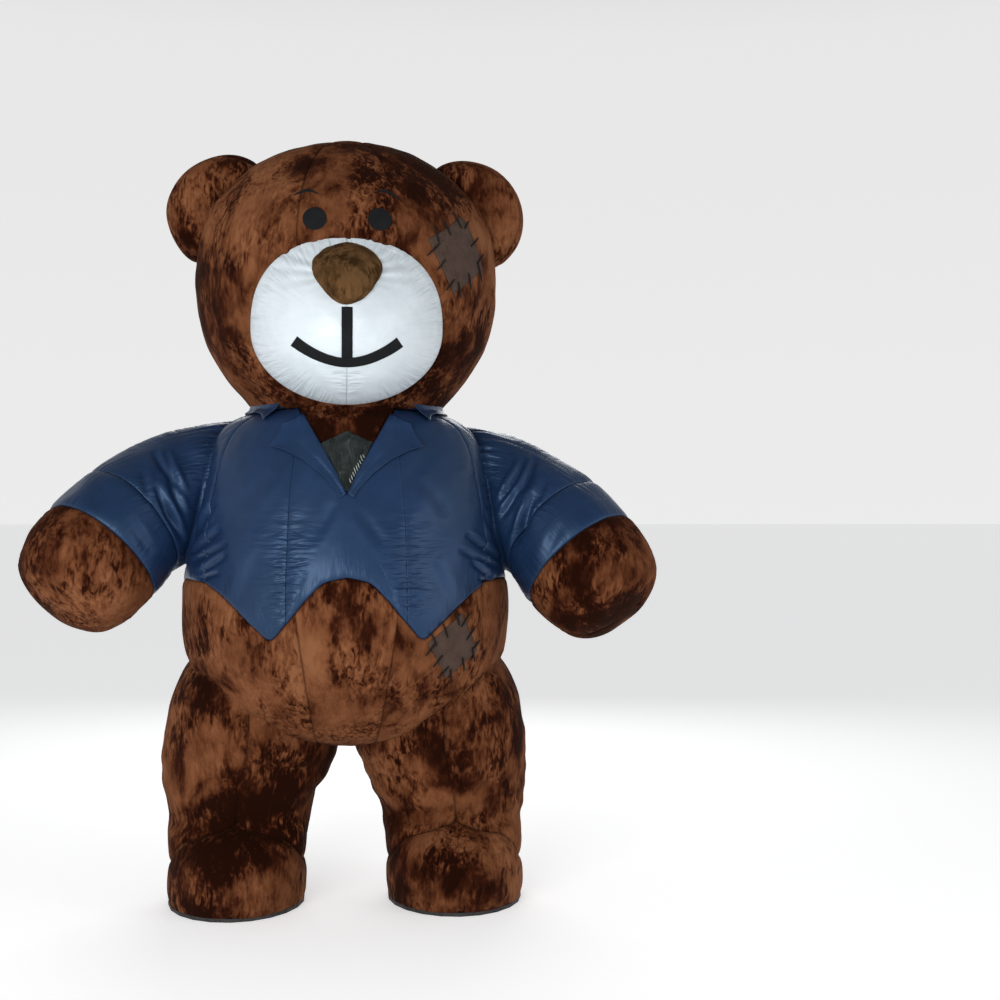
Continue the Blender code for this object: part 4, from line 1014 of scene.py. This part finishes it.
# %% Head panels
def ear_gap(points):
    """Distance from the nearer ear's form and the length along its join."""
    x, y, z = np.moveaxis(points, -1, 0)
    away = np.hypot(np.abs(x) - EAR_X, z - EAR_Z)
    share = np.clip(away / EAR_RADIUS, 0, 1)
    thick = EAR_BAND / 2 + (EAR_DEPTH - EAR_BAND / 2) * (1 - share**2.2) ** 0.6
    gap = np.maximum(away - EAR_RADIUS, np.abs(y - EAR_Y) - thick)
    return gap, np.arctan2(z - EAR_Z, np.abs(x) - EAR_X) * EAR_RADIUS + y


def head_sewing(points, angle, place):
    x, y, z = np.moveaxis(points, -1, 0)
    turned, other = fold_angle(angle), x < 0
    radius = 0.0088 * np.clip(np.sin(np.clip(place / 0.9, 0, 1) * math.pi / 2), 0.05, 1)
    sewing = Sewing(points)
    for at, seed in ((BROW_SEAM, 173), (90, 179), (142, 181)):
        sewing.seam((turned - at) * radius, z + other * 1.7, seed, 0.005, 0.010, 0.003, 0.045, 0.036)
    sewing.seam(head.end - place, angle * 0.006, 191, 0.010, 0.020, 0.007, 0.060, 0.036)
    turn, share = muzzle_polar(x, z)
    rim = np.where(y < 0, (share - 1) * muzzle_reach(turn), 0.5)
    sewing.seam(rim, turn * 0.28, 151, 0.010, 0.016, 0.0045, 0.055, 0.034)
    gap, along = ear_gap(points)
    sewing.seam(gap, along, 193, 0.010, 0.016, 0.005, 0.045, 0.034)
    sewing.off = sewing.off + 0.0028 * waves(points, 0.22, 197) + 0.001 * waves(points, 0.09, 199)
    return sewing


def head_surface(angle, place):
    points, outward = head.points(angle, place), head.normals(angle, place)
    sewing = head_sewing(points, angle, place)
    return points + outward * sewing.off[..., None], outward, sewing


def head_panel(node, start, stop, top, foot, columns, rows):
    angle = (start + (stop - start) * graded(columns, 0.4))[None, :]
    place = np.broadcast_to((top + (foot - top) * graded(rows, 0.2))[:, None], (rows, columns))
    angle = np.broadcast_to(angle, place.shape)
    points, outward, sewing = head_surface(angle, place)
    plain = head.points(angle, place)
    _, share = muzzle_polar(plain[..., 0], plain[..., 2])
    keep = (plain[..., 1] > 0) | (share > 0.88)
    keep &= ear_gap(plain)[0] > -0.030
    return cloth(node, points, outward, brown, PLUSH_THICK, keep=keep, tone=-0.018, sewn=sewing)


split = head.place_at(1.95)
head_panel("forehead", -BROW_SEAM, BROW_SEAM, 0.0, split, 34, 64)
head_panel("chin", -BROW_SEAM, BROW_SEAM, split, head.end, 34, 44)
for side, word in SIDES.items():
    head_panel(f"head_side_{word}", side * BROW_SEAM, side * 90, 0.0, head.end, 62, 110)
    head_panel(f"head_rear_{word}", side * 90, side * 142, 0.0, head.end, 44, 84)
head_panel("head_back", 142, 218, 0.0, head.end, 56, 84)


# %% Ears
def build_ear(side, word):
    turn = np.radians(ring(96))
    rim = np.stack([np.cos(turn), 0 * turn, np.sin(turn)], axis=-1) * (side, 1, 1)
    centre = np.array([side * EAR_X, EAR_Y, EAR_Z])
    along = turn * EAR_RADIUS

    def in_head(points):
        return head.spot(points)[0] > -0.032

    def sew(points, edge, seed):
        """The ear's own edge seam, and its join to the head."""
        sewing = Sewing(points)
        sewing.seam(edge, along, seed, 0.008, 0.010, 0.0035, 0.030, 0.030)
        sewing.seam(head.spot(points)[0], along + side, 211, 0.012, 0.018, 0.005, 0.045, 0.034)
        sewing.off = sewing.off + 0.0025 * waves(points, 0.14, 227 + seed)
        return sewing

    for toward, end in ((-1, "front"), (1, "back")):
        shares = 1 - (1 - np.linspace(0, 1, 28)[::-1, None]) ** 1.4
        swell = EAR_BAND / 2 + (EAR_DEPTH - EAR_BAND / 2) * (1 - shares**2.2) ** 0.6
        points = centre + rim * (EAR_RADIUS * shares)[..., None] + np.array([0, toward, 0]) * swell[..., None]
        lift = 0.5 * shares[..., None] ** 4
        outward = unit(rim * lift + np.array([0, toward, 0]) * (1 - 0.5 * lift))
        keep, sewing = in_head(points), sew(points, EAR_RADIUS * (1 - shares), 223 + toward)
        points = points + outward * sewing.off[..., None]
        cloth(f"ear_{end}_{word}", points, outward, brown, PLUSH_THICK, keep=keep, wrap=True,
              sewn=sewing)  # fmt: skip
    across = (np.linspace(-0.5, 0.5, 15) * EAR_BAND)[:, None]
    bulge = 0.010 * np.cos(across / EAR_BAND * math.pi)
    points = centre + rim * (EAR_RADIUS + bulge)[..., None] + np.array([0, 1.0, 0]) * across[..., None]
    outward = unit(rim + np.array([0, 1.0, 0]) * across[..., None] * 8)
    keep, sewing = in_head(points), sew(points, EAR_BAND / 2 - np.abs(across), 229)
    points = points + outward * sewing.off[..., None]
    cloth(f"ear_gusset_{word}", points, outward, brown, PLUSH_THICK, keep=keep, wrap=True,
          sewn=sewing)  # fmt: skip


for side, word in SIDES.items():
    build_ear(side, word)
print("head", counts)

# %% [markdown]
# ## The face
# The nose is a stuffed pad. The mouth is a bar and an arc of flat black cloth, the eyes are plain
# discs and the brows short strips. All of them lie on the swollen surface beneath, so their
# points are that surface's own points moved out by a cloth's thickness.


# %% Nose, mouth, eyes and brows
def build_nose():
    shares = 1 - (1 - np.linspace(0, 1, 32)[::-1, None]) ** 1.6
    turn = np.radians(ring(72))
    up = np.sin(turn) > 0
    taper = np.where(up, 1.0, np.maximum(0.0, 1 - 0.30 * np.abs(np.sin(turn))))
    x = shares * NOSE_HALF * np.cos(turn) * taper
    z = NOSE_Z + shares * np.where(up, NOSE_RISE, NOSE_FALL) * np.sin(turn)
    swell = NOSE_DEPTH * (1 - shares**2.4) ** 0.6
    points = muzzle_point(x, z, 0.002) - np.stack([swell * 0, swell, swell * 0], axis=-1)
    points = points + surface_normals(points) * (0.0020 * waves(points, 0.07, 233))[..., None]
    under = muzzle_point(x[:1], z[:1], 0.0) + (0, 0.012, 0)
    points = np.concatenate([under, points])
    outward = np.broadcast_to(np.array([0, -1.0, 0]), points.shape)
    cells = cell_faces(points, outward, None, True)
    pad = mesh_object("nose_pad", points, cells, nose_plush)
    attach(pad, "root")
    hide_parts("nose")


def lie_on(node, x, z, surface, material, thick=FELT_THICK):
    """A flat cut piece on a front surface: x and z are its grid in the front view."""
    points = surface(x, z, thick)
    return cloth(node, points, surface_normals(points), material, thick)


def head_front(x, z, out=0.0):
    """The finished head's front at x and z, moved out."""
    place = head.place_at(z)
    half = head.curve.at(place)[..., 2]
    angle = np.degrees(np.arcsin(np.clip(x / half, -1, 1)))
    points, outward, _ = head_surface(angle, place)
    return points + outward * out


build_nose()
foot_z, half, lip = 1.816, 0.162, 0.0135
bar_x, bar_z = np.meshgrid(np.linspace(-0.0165, 0.0165, 5), np.linspace(1.976, foot_z + lip + 0.001, 40))
lie_on("mouth_bar", bar_x, bar_z, muzzle_point, black)
run, across = np.meshgrid(np.linspace(-1, 1, 70), np.linspace(1, -1, 7))
line = foot_z + 0.060 * np.abs(run) ** 1.9
smile_x = (half - across * lip * 0.75) * run
lie_on("mouth_smile", smile_x, line + across * lip, muzzle_point, black)
for side, word in SIDES.items():
    turn, share = np.meshgrid(np.radians(np.linspace(0, 360, 49)), np.linspace(1, 0, 10))
    eye_x, eye_z = side * 0.101 + 0.037 * share * np.cos(turn), 2.237 + 0.037 * share * np.sin(turn)
    lie_on(f"eye_{word}", eye_x, eye_z, head_front, black)
    run, across = np.meshgrid(np.linspace(-1, 1, 40), np.linspace(1, -1, 5))
    arch = 2.319 + 0.014 * (1 - run**2) - 0.010 * run * (1 if side > 0 else -0.2)
    brow_z = arch + across * (0.0010 + 0.0034 * (1 - run**2))
    lie_on(f"brow_{word}", side * 0.128 + 0.038 * run, brow_z, head_front, black)
print("face", counts)

# %% [markdown]
# ## Patches
# Two squares of grey-brown felt are sewn on over the seams of cheek and belly, and a small smooth
# square on the jacket's back. Each felt square is held by a row of plain over-and-under yarn
# stitches that cross its edge, a pattern that any mender uses.


# %% Patches and their stitches
def patch_grid(form, angle, height, size, tilt, count=22):
    u, v = np.meshgrid(np.linspace(-0.5, 0.5, count), np.linspace(0.5, -0.5, count))
    c, s = math.cos(math.radians(tilt)), math.sin(math.radians(tilt))
    across, up = u * size[0] * c - v * size[1] * s, u * size[0] * s + v * size[1] * c
    return spread_on(form, angle, height, across, up)


def spread_on(form, angle, height, across, up):
    """Angles and places of points that lie across and up from a middle, measured on the cloth."""
    middle = form.place_at(height)
    half = form.curve.at(np.array([middle]))[0, 2]
    return angle + np.degrees(across / half), middle - up


def stitch(points, outward, width):
    """One yarn stitch: a six-sided strand along points that lie on the cloth."""
    run = unit(np.gradient(points, axis=0))
    side = unit(np.cross(run, outward))
    turn = np.linspace(0, 2 * math.pi, 9)[:-1]
    swell = np.sin(np.linspace(0.12, math.pi - 0.12, len(points)))[:, None, None] ** 0.35
    rings = side[:, None] * np.cos(turn)[:, None] + outward[:, None] * np.sin(turn)[:, None]
    return points[:, None] + rings * width / 2 * swell


def strand_object(name, strands, material):
    cells = []
    for k, strand in enumerate(strands):
        grid = cell_faces(strand, strand - strand.mean(axis=1, keepdims=True), None, True)
        cells.append(grid + k * strand.shape[0] * strand.shape[1])
    points = np.concatenate([strand.reshape(-1, 3) for strand in strands])
    made = mesh_object(name, points, np.concatenate(cells), material)
    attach(made, "root")


def build_patch(node, form, surface, angle, height, size, tilt, material, stitches, length):
    angles, places = patch_grid(form, angle, height, size, tilt)
    points, outward, _ = surface(angles, places)
    points = points + outward * 0.0035
    cloth(node, points, outward, material, FELT_THICK)
    if not stitches:
        return
    c, s = math.cos(math.radians(tilt)), math.sin(math.radians(tilt))
    strands = []
    for edge in range(4):
        for k in range(stitches):
            along = (k + 0.5) / stitches - 0.5 + rng.uniform(-0.03, 0.03)
            reach = np.linspace(-0.5, 0.5, 9) * length * rng.uniform(0.85, 1.15)
            lean = rng.uniform(-0.10, 0.10) + 0.18
            u, v = along * size[0] + lean * reach, 0.5 * size[1] + reach
            if edge % 2:
                u, v = 0.5 * size[0] + reach, along * size[1] + lean * reach
            if edge > 1:
                u, v = -u, -v
            spots = spread_on(form, angle, height, u * c - v * s, u * s + v * c)
            on, out, _ = surface(*spots)
            strands.append(stitch(on + out * 0.0065, out, 0.0062))
    strand_object(f"{node}_stitches", strands, thread)


def belly_skin(angle, place):
    return body_surface(angle, place, True)


def jacket_skin(angle, place):
    return body_surface(angle, place, False)


build_patch("patch_cheek", head, head_surface, 45, 2.155, (0.190, 0.195), 32, patch_felt, 3, 0.058)
build_patch("patch_belly", body, belly_skin, 38.5, 0.887, (0.158, 0.150), 35, patch_felt, 3, 0.052)
build_patch("tab_back", body, jacket_skin, 146, 1.125, (0.105, 0.110), 14, tab_cloth_and_glints, 0, 0.0)
print("patches", counts)

# %% [markdown]
# ## Neck opening, collar and coat tail
# The jacket's front opens in a V. Behind it lie a piece of plush and the clear film that the
# wearer looks through, with a peaked top edge. Two lapels roll back from the V, a turned collar
# hides the neck seam, and a free flap hangs from the back hem in soft standing folds.


# %% Neck plush and window
def on_front(x, z):
    """Points and outward directions of the plain body's front at x and z."""
    place = body.place_at(z)
    angle = np.degrees(np.arcsin(np.clip(x / body.curve.at(place)[..., 2], -1, 1)))
    return body.points(angle, place), body.normals(angle, place)


def chest(x, z, out=0.0):
    points, outward = on_front(x, np.minimum(z, NECK_HEIGHT - 0.002))
    pleat = 0.004 * slow(np.arctan2(x, z - VEE_FOOT + 0.03), 0.16, 239) + 0.002 * waves(points, 0.05, 241)
    points = points + outward * (pleat[..., None] - 0.004 + out)
    points[..., 2] = np.where(z > NECK_HEIGHT - 0.002, z, points[..., 2])
    return points


WINDOW_PEAK, WINDOW_SHOULDER, MARGIN = 1.588, 1.546, 0.014
wide = VEE_SLOPE * (WINDOW_SHOULDER - VEE_FOOT)
column, row = np.linspace(-1, 1, 40)[None, :], np.linspace(1, 0, 44)[:, None]
x = column * (wide + MARGIN) + 0 * row
edge = WINDOW_PEAK - (WINDOW_PEAK - WINDOW_SHOULDER) * np.abs(x) / wide
low = VEE_FOOT - MARGIN + np.abs(x) / VEE_SLOPE * 0.98
points = chest(x, low + (edge - low) * row)
cloth("window", points, surface_normals(points), film, 0.0012)
top_half = VEE_SLOPE * (NECK_HEIGHT - VEE_FOOT) + MARGIN
x = column * (wide + MARGIN + (top_half - wide - MARGIN) * row)
low = WINDOW_PEAK - (WINDOW_PEAK - WINDOW_SHOULDER) * np.minimum(np.abs(x) / wide, 1.12) - 0.004
points = chest(x, low + (NECK_HEIGHT + 0.022 - low) * row, 0.003)
# tone -0.10 is painted shade: the neck plush is darkened as if in the head's shadow
cloth("neck_front", points, surface_normals(points), brown, PLUSH_THICK, tone=-0.10)
film_glints = []
for height in np.arange(1.412, 1.500, 0.0098):  # pale strips painted as glints in the film's wrinkles, along the wearer's left edge of the film
    reach = np.linspace(0, 1, 5) * rng.uniform(0.7, 1.2)
    x = VEE_SLOPE * (height - VEE_FOOT) - 0.002 - 0.006 * reach
    on = chest(x[:, None], height + 0.017 * reach[:, None], 0.003)[:, 0]
    film_glints.append(stitch(on, np.tile([0.0, -1.0, 0.2], (5, 1)), 0.0034))
strand_object("painted_film_glints", film_glints, tab_cloth_and_glints)

# %% Lapels
Roll = namedtuple("Roll", "inner_x inner_z outer_x outer_z")
LAPEL = [
    Roll(0.139, 1.636, 0.200, 1.600), Roll(0.117, 1.596, 0.218, 1.565), Roll(0.097, 1.560, 0.243, 1.527),
    Roll(0.074, 1.519, 0.196, 1.512), Roll(0.052, 1.478, 0.138, 1.482), Roll(0.030, 1.438, 0.082, 1.437),
    Roll(0.013, 1.400, 0.036, 1.386), Roll(0.000, 1.376, 0.022, 1.360),
]  # fmt: skip
rows = np.linspace(0, 1, len(LAPEL))
down = np.sort(np.append(np.linspace(0, 1, 60), rows[2]))  # a row runs through the lapel's point
edges = np.stack([np.interp(down, rows, column) for column in np.array(LAPEL).T], axis=-1)
across = np.linspace(0, 1, 24)[None, :]
for side, word in SIDES.items():
    x = edges[:, 0:1] + (edges[:, 2:3] - edges[:, 0:1]) * across
    z = edges[:, 1:2] + (edges[:, 3:4] - edges[:, 1:2]) * across
    rolled = 0.004 + 0.013 * across**1.6 * np.linspace(1, 0.3, len(down))[:, None]
    rolled = rolled + 0.004 * np.sin(math.pi * np.clip(across * 2.2, 0, 1))
    rolled = rolled + 0.002 * slow(z, 0.09, 251 + side)
    rolled = rolled + 0.003 * (side > 0) * np.clip((1.41 - z) / 0.03, 0, 1)  # the left end lies on the right
    on, outward = on_front(x, z)
    points = (on + outward * (rolled + 0.002)[..., None]) * (side, 1, 1)
    sewing = Sewing(points)
    sewing.seam((1 - across) * (edges[:, 2:3] - edges[:, 0:1]), z, 255, 0, 0.01, 0, 0.02, 0.02, 0.25)
    cloth(f"lapel_{word}", points, outward * (side, 1, 1), navy, 0.0022, sewn=sewing)  # fmt: skip


# %% Collar
def build_collar():
    Turn = namedtuple("Turn", "along share rise lift")  # share of the fall, rise over the seam, stand-off
    turns = np.array([
        Turn(0.00, 0.0, 0.003, 0.0060), Turn(0.18, 0.0, 0.016, 0.0190), Turn(0.30, 0.0, 0.014, 0.0280),
        Turn(0.60, 0.40, 0.0, 0.0210), Turn(1.00, 1.0, 0.0, 0.0130),
    ])  # fmt: skip
    section = Curve(turns[:, 0], turns[:, 1:]).at(np.linspace(0, 1, 26))
    share, rise, lift = np.moveaxis(section, 1, 0)[..., None]
    span = np.linspace(-1, 1, 200)[None, :]
    angles = 180 + 139 * np.sign(span) * (1 - (1 - np.abs(span)) ** 1.4)
    corner = np.exp(-(((139 - np.abs(180 - angles)) / 8) ** 1.2))
    place = share * (0.032 + 0.071 * corner)
    points, outward = body.points(angles, place), body.normals(angles, place)
    level, along = unit(outward * (1, 1, 0.25)), angles * 0.006
    ripples = (0.002 * slow(along, 0.16, 257) + 0.001 * slow(along, 0.05, 263)) * share
    raised = np.array([0, 0, 1.0]) * (rise + 0 * angles)[..., None]
    points = points + level * (lift + ripples)[..., None] + raised
    sewing = Sewing(points)
    sewing.seam((1 - share) * 0.03, along, 265, 0, 0.01, 0, 0.02, 0.02, 0.25)
    return cloth("collar", points, level, navy, 0.0020, sewn=sewing)


build_collar()


# %% Coat tail
def build_tail():
    Drop = namedtuple("Drop", "height spread away")
    rows = np.array([
        Drop(1.030, 60.0, 0.0015), Drop(0.985, 57.0, 0.008), Drop(0.920, 54.0, 0.020),
        Drop(0.830, 49.0, 0.050), Drop(0.740, 44.0, 0.088), Drop(0.650, 39.5, 0.108),
        Drop(0.565, 35.0, 0.104),
    ])  # fmt: skip
    table = Curve(np.linspace(0, 1, len(rows)), rows).at(np.linspace(0, 1, 60))
    across = np.linspace(-1, 1, 110)[None, :]
    down = np.linspace(0, 1, 60)[:, None]
    height = table[:, 0:1] + 0.110 * np.abs(across) ** 2.6 * down**2
    angle = 180 + across * table[:, 1:2]
    first = hem_curve.at(fold_angle(angle))[..., 0]
    height = np.where(down < 0.05, first + (height - first) * down / 0.05, height)
    level = np.maximum(height, 0.93)
    on, outward = body.points(angle, body.place_at(level)), body.normals(angle, body.place_at(level))
    fold = 0.014 * down**0.8 * np.cos(across * math.pi * 3) + 0.004 * down * slow(across, 0.31, 269)
    drift = np.interp(height, rows[::-1, 0], rows[::-1, 2]) - (level - height) * 0.30
    points = on + unit(outward * (1, 1, 0)) * (np.maximum(drift, 0.0015) + fold)[..., None]
    pleats = gathers(down * 0.5 + 0 * across, across * 0.5, 0.006, 0.10, 0.026, 271)
    points = points + unit(outward) * pleats[..., None]
    points[..., 2] = height
    sewing = Sewing(points)
    sewing.seam(down * 0.45, across * 0.5, 277, 0, 0.01, 0, 0.05, 0.03, 0.6)
    return cloth("coat_tail", points, outward, navy, 0.0020, inner=False, sewn=sewing)


build_tail()
angle, height = np.meshgrid(np.linspace(177.2, 182.8, 9), np.linspace(1.585, 1.062, 90))
points, outward, _ = jacket_skin(angle, body.place_at(height))
points = points + outward * (0.010 - 0.0006 * np.abs(angle - 180))[..., None]
cloth("back_placket", points, outward, navy, SATIN_THICK)
for side, word in SIDES.items():
    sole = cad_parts[f"sole_{word}"]
    sole.data.materials.clear()
    sole.data.materials.append(sole_rubber)
print("all cloth", counts)

# %% [markdown]
# ## Camera, light and floor
# The camera stands where the photograph was taken from: about five metres in front of the bear,
# at its waist, and turned a little to the right of it. A wide soft light from above and in front
# shows the swelling of the panels, with weaker fill from the sides.

# %% Camera
CAMERA_AWAY, CAMERA_HEIGHT, LENS = 5.25, 1.30, 55.03
camera_data = bpy.data.cameras.new("camera")
camera_data.lens = LENS
camera_data.sensor_width = 36.0
camera = bpy.data.objects.new("camera", camera_data)
bpy.context.scene.collection.objects.link(camera)
camera.location = (SHIFT[0], -CAMERA_AWAY, CAMERA_HEIGHT)
YAW, PITCH = math.radians(-5.72), math.radians(0.67)
camera.rotation_euler = (math.pi / 2 + PITCH, 0, YAW)
bpy.context.scene.camera = camera


# %% Light and floor
def area_light(name, place, aim, size, watts, colour=(1, 1, 1)):
    data = bpy.data.lights.new(name, "AREA")
    data.shape = "RECTANGLE"
    data.size, data.size_y = size
    data.energy = watts
    data.color = colour
    lamp = bpy.data.objects.new(name, data)
    bpy.context.scene.collection.objects.link(lamp)
    lamp.location = place
    away = np.array(place) - np.array(aim)
    tilt = math.acos(away[2] / np.linalg.norm(away))
    lamp.rotation_euler = (tilt, 0, math.atan2(away[1], away[0]) + math.pi / 2)
    return lamp


area_light("key", (-2.2, -5.6, 2.0), (0, 0, 1.1), (3.2, 2.4), 215)
area_light("fill", (4.6, -2.6, 2.0), (0, 0, 1.2), (2.4, 3.0), 40)
area_light("back", (0.5, 4.4, 3.4), (0, 0, 1.4), (3.5, 2.0), 90)
world = bpy.data.worlds.new("studio")
world.use_nodes = True
sky = world.node_tree
upward = add(sky, "SeparateXYZ")
sky.links.new(add(sky, "TexCoord").outputs["Generated"], upward.inputs["Vector"])
shades = [(0.0, (0.88, 0.88, 0.88, 1.0)), (0.30, (0.84, 0.84, 0.84, 1.0)),
          (0.60, (0.36, 0.36, 0.37, 1.0)), (0.9, (0.24, 0.25, 0.26, 1.0))]  # fmt: skip
sky.links.new(ramp(sky, upward.outputs["Z"], shades), sky.nodes["Background"].inputs["Color"])
sky.nodes["Background"].inputs["Strength"].default_value = 0.95
bpy.context.scene.world = world

bpy.ops.mesh.primitive_plane_add(size=600, location=(0, 0, -0.0005))
floor = bpy.context.object
floor.name = "floor"
floor_material, _, floor_shader = new_material("floor_paint", 0.8)
floor_shader.inputs["Base Color"].default_value = (0.80, 0.80, 0.80, 1.0)
floor_shader.inputs["Emission Color"].default_value = (1.0, 1.0, 1.0, 1.0)
floor_shader.inputs["Emission Strength"].default_value = 0.42
floor.data.materials.append(floor_material)
bpy.context.scene.view_settings.view_transform = "Standard"
